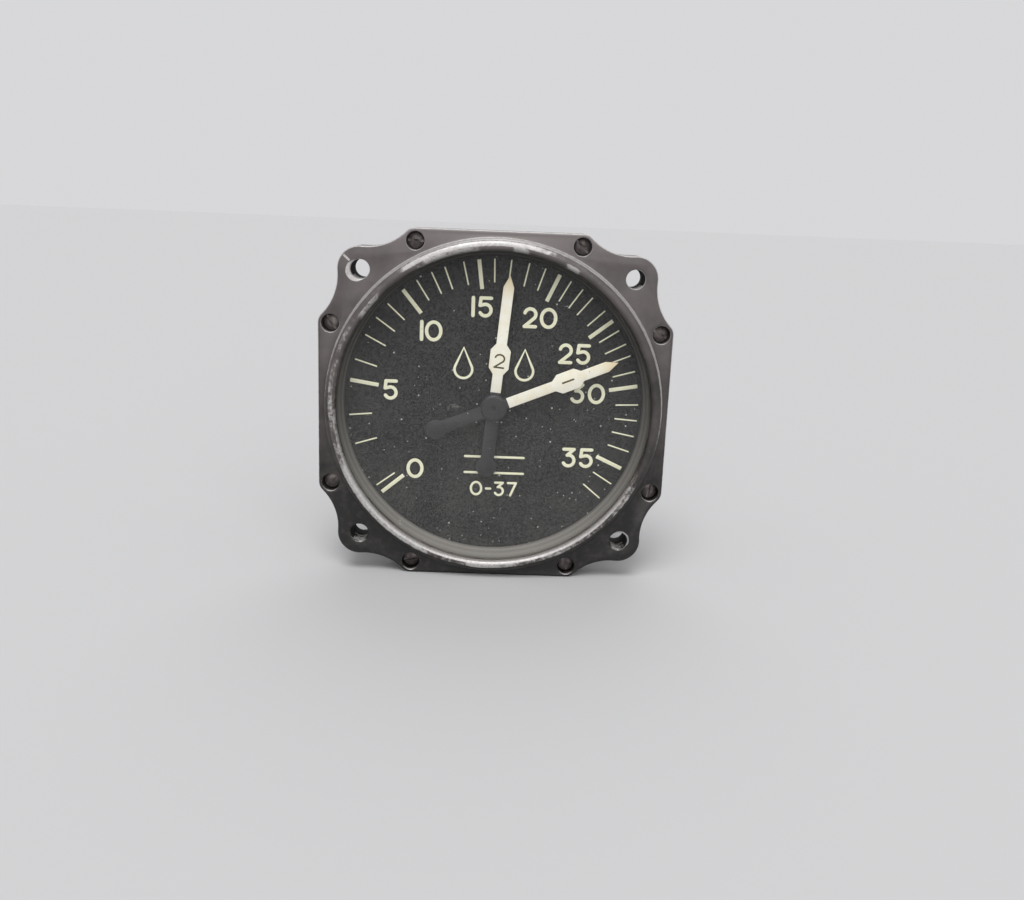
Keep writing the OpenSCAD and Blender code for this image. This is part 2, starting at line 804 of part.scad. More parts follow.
module front_rotor_hub() color("#c8a04a") rotor_hub(bowl_floor, hollow_shaft_r);

module rear_rotor_hub() color("#c8a04a") rotor_hub(rear_unit_at, long_shaft_r);

module rotor_magnet(unit_start) {
    middle = unit_middle(unit_start);
    ring(magnet_r, rotor_hub_r + fit_gap, middle - magnet_len / 2, middle + magnet_len / 2);
}

module front_rotor_magnet() color("#5a5d61") rotor_magnet(bowl_floor);

module rear_rotor_magnet() color("#5a5d61") rotor_magnet(rear_unit_at);

// Balance weight opposite the pointer; its straight sides meet the stop pin at both ends of the travel
module balance_sector(pointer_angle, shaft_r, from) {
    middle = pointer_angle + 90;
    translate([0, 0, from]) linear_extrude(sector_t) difference() {
        union() {
            circle(r = shaft_r + 1.1);
            polygon(concat(
                [[0, 0]],
                arc([0, 0], sector_r, middle - sector_half, middle + sector_half, 16)
            ));
        }
        circle(r = shaft_r + fit_gap);
    }
}

module front_balance_sector() {
    color("#b0894a") balance_sector(pointer_2_rest, hollow_shaft_r,
        front_plate_at - bush_flange_t - free_gap - sector_t);
}

module rear_balance_sector() {
    color("#b0894a") balance_sector(pointer_1_rest, long_shaft_r,
        rear_plate_back + bush_flange_t + free_gap);
}

upright() bezel();
upright() glass_gasket();
upright() cover_glass();
upright() spacer_ring();
upright() dial_plate();
upright() flange_gasket();
upright() case_body();
upright() case_screws();
upright() front_plate();
upright() plate_screws();
upright() mid_plate();
upright() rear_plate();
upright() tie_screws();
upright() spacer_sleeves();
upright() front_bush();
upright() mid_bush();
upright() rear_bush();
upright() front_stator_core();
upright() rear_stator_core();
upright() front_stator_coils();
upright() rear_stator_coils();
upright() front_damping_cup();
upright() rear_damping_cup();
upright() front_stop_pin();
upright() rear_stop_pin();
upright() magnetic_shield();
upright() lead_wires();
upright() rear_cover();
upright() cover_gasket();
upright() cover_screws();
upright() connector_gasket();
upright() connector_shell();
upright() connector_insert();
upright() connector_pins();
upright() connector_screws();
upright() pointer_1_blade();
upright() pointer_1_hub();
upright() long_shaft();
upright() rear_rotor_hub();
upright() rear_rotor_magnet();
upright() rear_balance_sector();
upright() pointer_2_blade();
upright() pointer_2_hub();
upright() hollow_shaft();
upright() front_rotor_hub();
upright() front_rotor_magnet();
upright() front_balance_sector();
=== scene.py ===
"""Looks of an aircraft oil quantity gauge: worn black casting, dark dial and two cream pointers under glass."""
from math import atan2, ceil, cos, degrees, dist, hypot, pi, radians, sin, sqrt

import bpy
from mathutils import Matrix, Vector


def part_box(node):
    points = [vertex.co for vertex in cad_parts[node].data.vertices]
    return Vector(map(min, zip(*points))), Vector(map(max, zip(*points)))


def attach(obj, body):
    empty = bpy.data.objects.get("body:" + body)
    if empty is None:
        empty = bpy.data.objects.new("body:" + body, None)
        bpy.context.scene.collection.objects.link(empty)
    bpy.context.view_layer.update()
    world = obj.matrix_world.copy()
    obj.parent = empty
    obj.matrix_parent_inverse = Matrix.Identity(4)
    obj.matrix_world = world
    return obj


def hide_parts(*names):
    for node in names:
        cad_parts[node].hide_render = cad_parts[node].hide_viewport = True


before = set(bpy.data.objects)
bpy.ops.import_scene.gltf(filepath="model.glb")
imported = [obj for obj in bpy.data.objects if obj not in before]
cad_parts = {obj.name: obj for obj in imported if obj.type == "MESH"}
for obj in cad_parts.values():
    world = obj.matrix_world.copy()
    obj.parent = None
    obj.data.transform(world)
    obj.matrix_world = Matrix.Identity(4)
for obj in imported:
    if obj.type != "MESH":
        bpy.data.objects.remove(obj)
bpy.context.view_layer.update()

# Places in this script are millimetres in the gauge's frame: X right, Y into the panel, Z up, pivot at the origin
MM = 0.001


def low(node):
    """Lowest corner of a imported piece, in millimetres."""
    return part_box(node)[0] / MM


def high(node):
    """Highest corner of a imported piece, in millimetres."""
    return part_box(node)[1] / MM


# Bezel and flange
CREST = low("bezel").y
FLANGE_BACK = high("bezel").y
FLANGE_HALF = high("bezel").x
GLASS_R = high("cover_glass").x
GLASS_FRONT = low("cover_glass").y
GLASS_BACK = high("cover_glass").y
LIP_BACK = low("glass_gasket").y
WINDOW_R = 36.8
RING_FOOT_R = 39.5
BORE_R = GLASS_R + 0.15
CRESTS_OUTER_ROUND = 1.5
BOSS_R = 2.85
BOSS = (18.98, FLANGE_HALF - BOSS_R)
MOUNT_HOLE = (31.43, 31.43)
LOBE_R = 5.2
HOLLOW_R = 13.0
MOUNT_HOLE_R = 2.2
COUNTERBORE_R = 2.1
COUNTERBORE_DEPTH = 3.4
SCREW_HOLE_R = 1.25

# Dial and pointers
DIAL_FRONT = low("dial_plate").y
DIAL_BACK = high("dial_plate").y
DIAL_HOLE_R = 2.2
TICK_OUTER_R = 34.7
MINOR_INNER_R = 29.26
MAJOR_INNER_R = 27.86
POINTER_ANGLE = {1: 67.5, 2: 5.15}
POINTER_TIP = 31.3

# Case and connector
CASE_FRONT = low("case_body").y
CASE_BACK = high("case_body").y
CASE_FLANGE_BACK = CASE_FRONT + 3.5
COVER_FRONT = low("rear_cover").y
COVER_BACK = high("rear_cover").y
SQUARE_HALF = high("connector_shell").x
BARREL_BACK = high("connector_shell").y


def four_turns(place):
    """The (x, z) places that repeat one place on the four sides of the gauge."""
    x, z = place
    return [(x, z), (z, -x), (-x, -z), (-z, x)]


CASE_SCREWS = four_turns(BOSS) + four_turns((-BOSS[0], BOSS[1]))
CASE_SCREW_SLOTS = (45, 102, 169, 56, 3, 28, 77, 144)
MOUNT_HOLES = four_turns(MOUNT_HOLE)


def colour(hex_code):
    """Linear RGBA of an sRGB hex colour."""
    channels = [int(hex_code[i:i + 2], 16) / 255 for i in (1, 3, 5)]
    linear = [c / 12.92 if c <= 0.04045 else ((c + 0.055) / 1.055) ** 2.4 for c in channels]
    return (*linear, 1.0)


def per_mm(size):
    """Texture scale, on coordinates in metres, that gives a pattern features of this size in millimetres."""
    return 1 / (size * MM)


# Materials


def add_node(tree, kind, inputs=(), out=0, **settings):
    """Adds a shader node with its settings, fills its inputs with values or links, and returns one output."""
    node = tree.nodes.new("ShaderNode" + kind)
    for name, value in settings.items():
        setattr(node, name, value)
    for key, value in dict(inputs).items():
        if isinstance(value, bpy.types.NodeSocket):
            tree.links.new(value, node.inputs[key])
        else:
            node.inputs[key].default_value = value
    return node.outputs[out]


def new_material(name, values=()):
    """A material whose Principled shader has these values on its own sockets."""
    material = bpy.data.materials.new(name)
    material.use_nodes = True
    shader = material.node_tree.nodes["Principled BSDF"]
    for socket, value in dict(values).items():
        shader.inputs[socket].default_value = value
    return material, material.node_tree, shader


def polar(tree, place):
    """Dial angle as a share of a turn, with 12 o'clock at one half, and distance from the axis in metres."""
    axes = add_node(tree, "SeparateXYZ", {0: place}, out="X").node.outputs
    angle = add_node(tree, "Math", {0: axes["X"], 1: axes["Z"]}, operation="ARCTAN2")
    share = add_node(tree, "MapRange", {0: angle, 1: -pi, 2: pi})
    flat = add_node(tree, "VectorMath", {0: place, 1: (1, 0, 1)}, operation="MULTIPLY")
    radius = add_node(tree, "VectorMath", {0: flat}, out="Value", operation="LENGTH")
    return share, radius


# How far the paint has gone from the two rounded edges of the ring, by dial angle: 0 is sound and 1 is bare
INNER_EDGE_WEAR = [
    (-180, 0.85), (-156, 0.85), (-114, 0.70), (-106, 0.52), (-95, 0.56), (-88, 0.40), (-58, 0.34),
    (-55, 0.56), (-47, 0.56), (-44, 0.24), (-32, 0.26), (-29, 0.50), (-23, 0.60), (-9, 0.56),
    (-5, 0.34), (4, 0.32), (6, 0.74), (9, 0.74), (12, 0.24), (23, 0.24), (25, 0.66), (28, 0.66),
    (31, 0.20), (60, 0.16), (108, 0.28), (118, 0.55), (128, 0.74), (145, 0.85), (180, 0.85),
]
OUTER_EDGE_WEAR = [
    (-180, 0.80), (-174, 0.80), (-171, 0.46), (-158, 0.46), (-154, 0.62), (-116, 0.64), (-109, 0.50),
    (-97, 0.46), (-93, 0.54), (-76, 0.50), (-72, 0.36), (-69, 0.50), (-63, 0.46), (-57, 0.30),
    (-38, 0.32), (-31, 0.72), (0, 0.78), (14, 0.66), (24, 0.34), (60, 0.20), (112, 0.28),
    (119, 0.52), (127, 0.54), (131, 0.42), (142, 0.46), (157, 0.56), (160, 0.44), (180, 0.62),
]
OUTER_WALL_WEAR = [
    (-180, 0.22), (-100, 0.25), (-80, 0.50), (-66, 0.72), (-45, 0.92), (-18, 0.80), (12, 0.78), (35, 0.95),
    (60, 0.95), (75, 0.80), (92, 0.60), (110, 0.25), (180, 0.22),
]
# Spots of the flange where the paint is chipped, beside the mounting holes: (x, z), reach and wear
FLANGE_CHIPS = [
    ((-32.3, 31.05), 2.65, 0.85), ((31.75, -31.1), 2.5, 0.66), ((-31.43, -31.7), 2.4, 0.55),
    ((31.43, 31.2), 2.3, 0.55), ((31.43, -31.7), 2.4, 0.55),
]
# Lower rims of the counterbores: shift down and reach of the worn crescent
COUNTERBORE_CHIP = (0.28, 2.22, 0.66)
# A scratch across the upper left lobe: its two ends as (x, z), half width and wear
LOBE_SCRATCH = ((-35.3, 34.65), (-33.6, 33.15), 0.3, 0.9)


def in_mount_hole(tree, place):
    """1 on the walls of the four mounting holes, behind their rims."""
    corner = add_node(tree, "VectorMath", {0: place}, operation="ABSOLUTE")
    corner = add_node(tree, "VectorMath", {0: corner, 1: (1, 0, 1)}, operation="MULTIPLY")
    axis = {0: corner, 1: (MOUNT_HOLE[0] * MM, 0, MOUNT_HOLE[1] * MM)}
    away = add_node(tree, "VectorMath", axis, out="Value", operation="DISTANCE")
    inside = add_node(tree, "MapRange", {0: away, 1: (MOUNT_HOLE_R + 0.2) * MM, 2: (MOUNT_HOLE_R + 0.1) * MM})
    depth = add_node(tree, "SeparateXYZ", {0: place}, out="Y")
    return add_node(tree, "MapRange", {0: depth, 1: 0.05 * MM, 2: 0.2 * MM, 3: 0, 4: inside})


def ring_wear(tree, place):
    """Wear of the ring by dial angle: its rounded inner and outer edges and its outer wall."""
    share, radius = polar(tree, place)
    depth = add_node(tree, "SeparateXYZ", {0: place}, out="Y")
    height = add_node(tree, "SeparateXYZ", {0: place}, out="Z")
    by_angle = []
    for stops in (INNER_EDGE_WEAR, OUTER_EDGE_WEAR, OUTER_WALL_WEAR):
        wear = add_node(tree, "ValToRGB", {0: share})
        ramp = wear.node.color_ramp
        ramp.interpolation = "EASE"
        for _ in stops[2:]:
            ramp.elements.new(0.5)
        for stop, (angle, amount) in zip(ramp.elements, stops):
            stop.position = (angle + 180) / 360
            stop.color = (amount, amount, amount, 1)
        by_angle.append(wear)
    inner, outer, wall = by_angle
    reach = add_node(tree, "MapRange", {0: height, 1: -10 * MM, 2: 20 * MM, 3: 37.4 * MM, 4: 37.9 * MM})
    past = add_node(tree, "Math", {0: radius, 1: reach}, operation="SUBTRACT")
    inner = add_node(tree, "MapRange", {0: past, 1: 0.4 * MM, 2: -0.1 * MM, 3: 0, 4: inner})
    middle = add_node(tree, "MapRange", {0: height, 1: -5 * MM, 2: 25 * MM, 3: 37.8 * MM, 4: 38.4 * MM})
    off = add_node(tree, "Math", {0: radius, 1: middle}, operation="SUBTRACT")
    off = add_node(tree, "Math", {0: off}, operation="ABSOLUTE")
    outer = add_node(tree, "MapRange", {0: off, 1: 0.9 * MM, 2: 0.4 * MM, 3: 0, 4: outer})
    outer = add_node(tree, "MapRange", {0: depth, 1: -1.0 * MM, 2: -1.6 * MM, 3: 0, 4: outer})
    wall = add_node(tree, "MapRange", {0: radius, 1: 38.85 * MM, 2: 39.15 * MM, 3: 0, 4: wall})
    wall = add_node(tree, "MapRange", {0: depth, 1: 0, 2: -0.15 * MM, 3: 0, 4: wall})
    edges = add_node(tree, "Math", {0: inner, 1: outer}, operation="MAXIMUM")
    return add_node(tree, "Math", {0: edges, 1: wall}, operation="MAXIMUM")


def flange_wear(tree, place):
    """Wear of the flange: rounded front edges, hole floors, chipped spots and a scratch."""
    depth = add_node(tree, "SeparateXYZ", {0: place}, out="Y")
    height = add_node(tree, "SeparateXYZ", {0: place}, out="Z")
    facing = add_node(tree, "SeparateXYZ", {0: add_node(tree, "NewGeometry", out="Normal")}).node.outputs
    floors = add_node(tree, "MapRange", {0: height, 1: -30 * MM, 2: 30 * MM, 3: 0.55, 4: 0.8})
    floors = add_node(tree, "MapRange", {0: facing["Z"], 1: 0.4, 2: 0.75, 3: 0, 4: floors})
    floors = add_node(tree, "MapRange", {0: in_mount_hole(tree, place), 3: 0, 4: floors})
    edges = add_node(tree, "MapRange", {0: height, 1: -30 * MM, 2: 35 * MM, 3: 0.4, 4: 0.8})
    edges = add_node(tree, "MapRange", {0: facing["Y"], 1: -0.97, 2: -0.75, 3: 0, 4: edges})
    edges = add_node(tree, "MapRange", {0: facing["Y"], 1: -0.05, 2: -0.3, 3: 0, 4: edges})
    edges = add_node(tree, "MapRange", {0: depth, 1: -0.12 * MM, 2: -0.02 * MM, 3: 0, 4: edges})
    spots = []
    drop, rim_reach, rim_wear = COUNTERBORE_CHIP
    rims = [((x, z - drop), rim_reach, rim_wear) for x, z in CASE_SCREWS]
    for (x, z), reach, wear in FLANGE_CHIPS + rims:
        spot = {0: place, 1: (x * MM, 0, z * MM)}
        away = add_node(tree, "VectorMath", spot, out="Value", operation="DISTANCE")
        spots.append(add_node(tree, "MapRange", {0: away, 1: reach * MM, 2: 0.85 * reach * MM, 3: 0, 4: wear}))
    (x0, z0), (x1, z1), half_width, wear = LOBE_SCRATCH
    middle = ((x0 + x1) / 2 * MM, 0, (z0 + z1) / 2 * MM)
    turn = (0, atan2(z1 - z0, x1 - x0), 0)
    local = add_node(tree, "VectorMath", {0: place, 1: middle}, operation="SUBTRACT")
    local = add_node(tree, "VectorRotate", {0: local, "Rotation": turn}, rotation_type="EULER_XYZ")
    size = (2 / dist((x0, z0), (x1, z1)) / MM, 0, 1 / half_width / MM)
    local = add_node(tree, "VectorMath", {0: local, 1: size}, operation="MULTIPLY")
    local = add_node(tree, "VectorMath", {0: local}, operation="ABSOLUTE")
    ends = add_node(tree, "SeparateXYZ", {0: local}, out="X").node.outputs
    outside = add_node(tree, "Math", {0: ends["X"], 1: ends["Z"]}, operation="MAXIMUM")
    worn = add_node(tree, "MapRange", {0: outside, 1: 1, 2: 0.7, 3: 0, 4: wear})
    for spot in spots:
        worn = add_node(tree, "Math", {0: worn, 1: spot}, operation="MAXIMUM")
    worn = add_node(tree, "MapRange", {0: depth, 1: 1.2 * MM, 2: 0.4 * MM, 3: 0, 4: worn})
    for wear in (floors, edges):
        worn = add_node(tree, "Math", {0: worn, 1: wear}, operation="MAXIMUM")
    return worn


def bezel_wear(tree, place):
    return add_node(tree, "Math", {0: ring_wear(tree, place), 1: flange_wear(tree, place)}, operation="MAXIMUM")


def case_wear(tree, place):
    """Wear of the case: light rubbing on edges that lean between the back and the sides."""
    normal = add_node(tree, "NewGeometry", out="Normal")
    facing = add_node(tree, "SeparateXYZ", {0: normal}, out="Y")
    facing = add_node(tree, "Math", {0: facing}, operation="ABSOLUTE")
    leaning = add_node(tree, "MapRange", {0: facing, 1: 0.15, 2: 0.45, 3: 0, 4: 0.43})
    return add_node(tree, "MapRange", {0: facing, 1: 0.95, 2: 0.75, 3: 0, 4: leaning})


def ring_chips(tree, place):
    """Chip pattern drawn out along the ring: scuffs are about five times as long as they are wide."""
    flat = add_node(tree, "VectorMath", {0: place, 1: (1, 0, 1)}, operation="MULTIPLY")
    radius = add_node(tree, "VectorMath", {0: flat}, out="Value", operation="LENGTH")
    across = add_node(tree, "Math", {0: radius, 1: per_mm(0.55)}, operation="MULTIPLY")
    way = add_node(tree, "VectorMath", {0: flat}, operation="NORMALIZE")
    along = add_node(tree, "VectorMath", {0: way, "Scale": RING_FOOT_R * MM}, operation="SCALE")
    return add_node(
        tree, "TexNoise", {0: along, "W": across, "Scale": per_mm(2.8), "Detail": 6, "Roughness": 0.7},
        noise_dimensions="4D")


def worn_paint(name, wear_of):
    """Black stoving enamel on a light alloy casting, with a soft satin sheen and bright metal where it has gone.

    It is painted lighter towards the top and darker towards the bottom, as light from above falls, with a painted
    highlight along the top and painted shade in the mounting holes."""
    material, tree, shader = new_material(name)
    place = add_node(tree, "TexCoord", out="Object")
    mottle = add_node(tree, "TexNoise", {0: place, "Scale": per_mm(7), "Detail": 4, "Roughness": 0.6})
    smears = add_node(tree, "TexNoise", {0: place, "Scale": per_mm(1.8), "Detail": 3, "Roughness": 0.6})
    grain = add_node(tree, "TexNoise", {0: place, "Scale": per_mm(0.5), "Detail": 2})
    round_chips = add_node(tree, "TexNoise", {0: place, "Scale": per_mm(1.3), "Detail": 6, "Roughness": 0.7})
    long_chips = ring_chips(tree, place)
    chips = add_node(tree, "Mix", {0: 0.5, 2: round_chips, 3: long_chips})
    chips = add_node(tree, "MapRange", {0: chips, 1: 0.25, 2: 0.75, 3: 0.12, 4: 0.88})
    worn = wear_of(tree, place)
    gone = add_node(tree, "Math", {0: chips, 1: worn}, operation="ADD")
    bare = add_node(tree, "MapRange", {0: gone, 1: 1.0, 2: 1.05})
    rubbed = add_node(tree, "MapRange", {0: gone, 1: 0.84, 2: 1.0, 3: 0, 4: 0.4})
    # Painted shade: the walls of the mounting holes are darkened, and made matt, as shade falls inside them
    painted_hole_shade = add_node(tree, "MapRange", {0: in_mount_hole(tree, place), 3: 0, 4: 0.9})
    height = add_node(tree, "SeparateXYZ", {0: place}, out="Z")
    # Painted light: the paint is lighter towards the top and darker towards the bottom, as light from above falls
    dust_and_painted_light = add_node(tree, "MapRange", {0: height, 1: -32 * MM, 2: 36 * MM, 3: -0.3, 4: 0.2})
    mottle = add_node(tree, "MapRange", {0: mottle, 3: 0.18, 4: 0.82})
    shade = add_node(tree, "Math", {0: mottle, 1: dust_and_painted_light}, operation="ADD")
    shade = add_node(tree, "MapRange", {0: shade, 1: 0.25, 2: 0.75})
    paint = add_node(tree, "Mix", {0: shade, 6: colour("#161412"), 7: colour("#615a59")}, out=2, data_type="RGBA")
    smear = add_node(tree, "MapRange", {0: smears, 1: 0.5, 2: 0.75, 3: 0, 4: 0.25})
    paint = add_node(tree, "Mix", {0: smear, 6: paint, 7: colour("#5c5452")}, out=2, data_type="RGBA")
    # Painted highlight: a paler band along the top, where light from above catches it
    painted_top_highlight = add_node(tree, "MapRange", {0: height, 1: 36.5 * MM, 2: 39.5 * MM, 3: 0, 4: 0.6})
    paint = add_node(tree, "Mix", {0: painted_top_highlight, 6: paint, 7: colour("#8c8584")}, out=2, data_type="RGBA")
    paint = add_node(tree, "Mix", {0: rubbed, 6: paint, 7: colour("#8b8480")}, out=2, data_type="RGBA")
    # Painted shade: near-black inside the mounting holes
    paint = add_node(tree, "Mix", {0: painted_hole_shade, 6: paint, 7: colour("#0e0f0c")}, out=2, data_type="RGBA")
    metal = add_node(tree, "Mix", {0: grain, 6: colour("#8f8c8a"), 7: colour("#d2cfcd")}, out=2, data_type="RGBA")
    surface = add_node(tree, "Mix", {0: bare, 6: paint, 7: metal}, out=2, data_type="RGBA")
    shine = add_node(tree, "MapRange", {0: bare, 3: 0, 4: 0.4})
    dullness = add_node(tree, "MapRange", {0: smears, 1: 0.3, 2: 0.7, 3: 0.34, 4: 0.48})
    dullness = add_node(tree, "Math", {0: dullness, 1: painted_hole_shade}, operation="MAXIMUM")
    hills = add_node(tree, "MapRange", {0: grain, 3: 0, 4: 0.25})
    relief = add_node(tree, "Math", {0: hills, 1: bare}, operation="SUBTRACT")
    bump = add_node(tree, "Bump", {"Strength": 0.6, "Distance": 0.04 * MM, "Height": relief})
    for socket, value in (("Base Color", surface), ("Metallic", shine), ("Roughness", dullness), ("Normal", bump)):
        tree.links.new(value, shader.inputs[socket])
    return material


def aged_paint(name, fresh, aged, stained_tip=False):
    """Cream luminous paint laid on by hand: matt, lumpy and browned with age, more so towards a pointer's tip."""
    material, tree, shader = new_material(name, {"Roughness": 0.62, "Specular IOR Level": 0.3})
    place = add_node(tree, "TexCoord", out="Object")
    patches = add_node(tree, "TexNoise", {0: place, "Scale": per_mm(2.6), "Detail": 4, "Roughness": 0.6})
    grain = add_node(tree, "TexNoise", {0: place, "Scale": per_mm(0.3), "Detail": 2})
    age = add_node(tree, "MapRange", {0: patches, 1: 0.4, 2: 0.75, 3: 0, 4: 0.45})
    if stained_tip:
        flat = add_node(tree, "VectorMath", {0: place, 1: (1, 0, 1)}, operation="MULTIPLY")
        radius = add_node(tree, "VectorMath", {0: flat}, out="Value", operation="LENGTH")
        stain = add_node(tree, "MapRange", {0: radius, 1: 25 * MM, 2: 30 * MM, 3: 0, 4: 0.8})
        age = add_node(tree, "Math", {0: age, 1: stain}, operation="MAXIMUM")
    shade = add_node(tree, "Mix", {0: age, 6: colour(fresh), 7: colour(aged)}, out=2, data_type="RGBA")
    lumps = add_node(tree, "Math", {0: patches, 1: grain}, operation="ADD")
    bump = add_node(tree, "Bump", {"Strength": 0.5, "Distance": 0.05 * MM, "Height": lumps})
    tree.links.new(shade, shader.inputs["Base Color"])
    tree.links.new(bump, shader.inputs["Normal"])
    return material


# Where the cells of the specks are counted from: near their own origin they stand in rows
SPECKS_FROM = (0.2, 0.3, 0)


def dust_specks(tree, place, spacing, share):
    """1 in round specks on a surface that faces the reader, in a share of the cells, and in fewer higher up."""
    facing = add_node(tree, "Mapping", {0: place, "Rotation": (pi / 2, 0, 0), "Location": SPECKS_FROM})
    cells = add_node(
        tree, "TexVoronoi", {0: facing, "Scale": per_mm(spacing)}, out="Distance",
        voronoi_dimensions="2D").node.outputs
    chance = add_node(tree, "SeparateXYZ", {0: cells["Color"]}, out="X")
    height = add_node(tree, "SeparateXYZ", {0: place}, out="Z")
    fewest = add_node(tree, "MapRange", {0: height, 1: 20 * MM, 2: -30 * MM, 3: 1 - 0.5 * share, 4: 1 - share})
    size = add_node(tree, "MapRange", {0: chance, 1: fewest, 2: 1, 3: 0, 4: 0.11})
    return add_node(tree, "Math", {0: cells["Distance"], 1: size}, operation="LESS_THAN")


def dull_black(name, base, dusty, specks, gloss=0.25, roughness=0.72):
    """Black or grey instrument lacquer with a film of dust and scattered pale specks, thicker low down."""
    material, tree, shader = new_material(name, {"Roughness": roughness, "Specular IOR Level": gloss})
    place = add_node(tree, "TexCoord", out="Object")
    film = add_node(tree, "TexNoise", {0: place, "Scale": per_mm(0.45), "Detail": 3, "Roughness": 0.6})
    film = add_node(tree, "MapRange", {0: film, 1: 0.3, 2: 0.7})
    ground = add_node(tree, "Mix", {0: film, 6: colour(base), 7: colour(dusty)}, out=2, data_type="RGBA")
    speck = dust_specks(tree, place, 2, specks)
    shade = add_node(tree, "Mix", {0: speck, 6: ground, 7: colour("#b4b3ad")}, out=2, data_type="RGBA")
    tree.links.new(shade, shader.inputs["Base Color"])
    return material


def grey_wall(name):
    """Grey lacquer on the wall round the dial, with turned lines; painted shade darkens it under the top and where it
    meets the dial, and painted light makes it paler at the bottom.
    """
    material, tree, shader = new_material(name, {"Roughness": 0.6, "Specular IOR Level": 0.3})
    place = add_node(tree, "TexCoord", out="Object")
    height = add_node(tree, "SeparateXYZ", {0: place}, out="Z")
    depth = add_node(tree, "SeparateXYZ", {0: place}, out="Y")
    streaks = add_node(tree, "TexNoise", {0: place, "Scale": per_mm(5), "Detail": 3})
    lines = add_node(tree, "Math", {0: depth, 1: 2 * pi * per_mm(1.7)}, operation="MULTIPLY")
    lines = add_node(tree, "Math", {0: lines, 1: streaks}, operation="ADD")
    lines = add_node(tree, "Math", {0: lines}, operation="SINE")
    lines = add_node(tree, "MapRange", {0: lines, 1: -1, 2: 1, 3: -0.09, 4: 0.09})
    # Painted light: darker under the top of the ring, where shade falls, and paler towards the bottom, where light
    # from above reaches the wall
    dust_and_painted_light = add_node(tree, "MapRange", {0: height, 1: 30 * MM, 2: -33 * MM, 3: 0.05, 4: 0.68})
    # Painted shade: darker where the wall meets the dial
    painted_shade_near_dial = add_node(tree, "MapRange", {0: depth, 1: 3.8 * MM, 2: DIAL_FRONT * MM, 3: 0, 4: -0.3})
    for share in (lines, painted_shade_near_dial):
        dust_and_painted_light = add_node(tree, "Math", {0: dust_and_painted_light, 1: share}, operation="ADD")
    shade = add_node(tree, "Mix", {0: dust_and_painted_light, 6: colour("#2b2927"), 7: colour("#96938c")}, out=2, data_type="RGBA")
    tree.links.new(shade, shader.inputs["Base Color"])
    return material


def machined_metal(name, base, tint, roughness, metallic=1.0, ring_pitch=0.25):
    """Turned metal: fine rings about the axis, a little tarnish and soft smudges."""
    material, tree, shader = new_material(name, {"Metallic": metallic})
    place = add_node(tree, "TexCoord", out="Object")
    flat = add_node(tree, "VectorMath", {0: place, 1: (1, 0.35, 1)}, operation="MULTIPLY")
    radius = add_node(tree, "VectorMath", {0: flat}, out="Value", operation="LENGTH")
    turns = add_node(tree, "Math", {0: radius, 1: 2 * pi * per_mm(ring_pitch)}, operation="MULTIPLY")
    rings = add_node(tree, "Math", {0: turns}, operation="SINE")
    smudge = add_node(tree, "TexNoise", {0: place, "Scale": per_mm(2.2), "Detail": 4, "Roughness": 0.6})
    tarnish = add_node(tree, "MapRange", {0: smudge, 1: 0.38, 2: 0.68})
    shade = add_node(tree, "Mix", {0: tarnish, 6: colour(base), 7: colour(tint)}, out=2, data_type="RGBA")
    dullness = add_node(tree, "MapRange", {0: smudge, 1: 0.3, 2: 0.7, 3: roughness - 0.07, 4: roughness + 0.1})
    bump = add_node(tree, "Bump", {"Strength": 0.25, "Distance": 0.01 * MM, "Height": rings})
    for socket, value in (("Base Color", shade), ("Roughness", dullness), ("Normal", bump)):
        tree.links.new(value, shader.inputs[socket])
    return material


def laminated_iron(name):
    """Stack of thin iron stampings with varnish between them, seen as fine lines along the axis."""
    material, tree, shader = new_material(name, {"Metallic": 0.8, "Roughness": 0.5})
    place = add_node(tree, "TexCoord", out="Object")
    depth = add_node(tree, "SeparateXYZ", {0: place}, out="Y")
    layers = add_node(tree, "Math", {0: depth, 1: 2 * pi * per_mm(0.5)}, operation="MULTIPLY")
    layers = add_node(tree, "Math", {0: layers}, operation="SINE")
    seam = add_node(tree, "MapRange", {0: layers, 1: 0.6, 2: 0.95})
    rust = add_node(tree, "TexNoise", {0: place, "Scale": per_mm(3), "Detail": 4})
    rust = add_node(tree, "MapRange", {0: rust, 1: 0.5, 2: 0.75, 3: 0, 4: 0.6})
    iron = add_node(tree, "Mix", {0: rust, 6: colour("#7d8085"), 7: colour("#6e5a4c")}, out=2, data_type="RGBA")
    shade = add_node(tree, "Mix", {0: seam, 6: iron, 7: colour("#33302d")}, out=2, data_type="RGBA")
    bump = add_node(tree, "Bump", {"Strength": 0.5, "Distance": 0.04 * MM, "Height": layers})
    tree.links.new(shade, shader.inputs["Base Color"])
    tree.links.new(bump, shader.inputs["Normal"])
    return material


def enamelled_copper(name):
    """Enamelled magnet wire laid side by side round the stator ring, a turn every 0.45 mm so that it shows."""
    material, tree, shader = new_material(name, {"Metallic": 0.85, "Roughness": 0.32, "Coat Weight": 0.4})
    place = add_node(tree, "TexCoord", out="Object")
    share, radius = polar(tree, place)
    turns_round = round(2 * pi * 17 / 0.45)
    turns = add_node(tree, "Math", {0: share, 1: 2 * pi * turns_round}, operation="MULTIPLY")
    wires = add_node(tree, "Math", {0: turns}, operation="SINE")
    gap = add_node(tree, "MapRange", {0: wires, 1: -0.3, 2: -0.95})
    uneven = add_node(tree, "TexNoise", {0: place, "Scale": per_mm(2), "Detail": 3})
    copper = add_node(tree, "Mix", {0: uneven, 6: colour("#b5602f"), 7: colour("#8a4423")}, out=2, data_type="RGBA")
    shade = add_node(tree, "Mix", {0: gap, 6: copper, 7: colour("#3f1d10")}, out=2, data_type="RGBA")
    bump = add_node(tree, "Bump", {"Strength": 0.8, "Distance": 0.12 * MM, "Height": wires})
    tree.links.new(shade, shader.inputs["Base Color"])
    tree.links.new(bump, shader.inputs["Normal"])
    return material


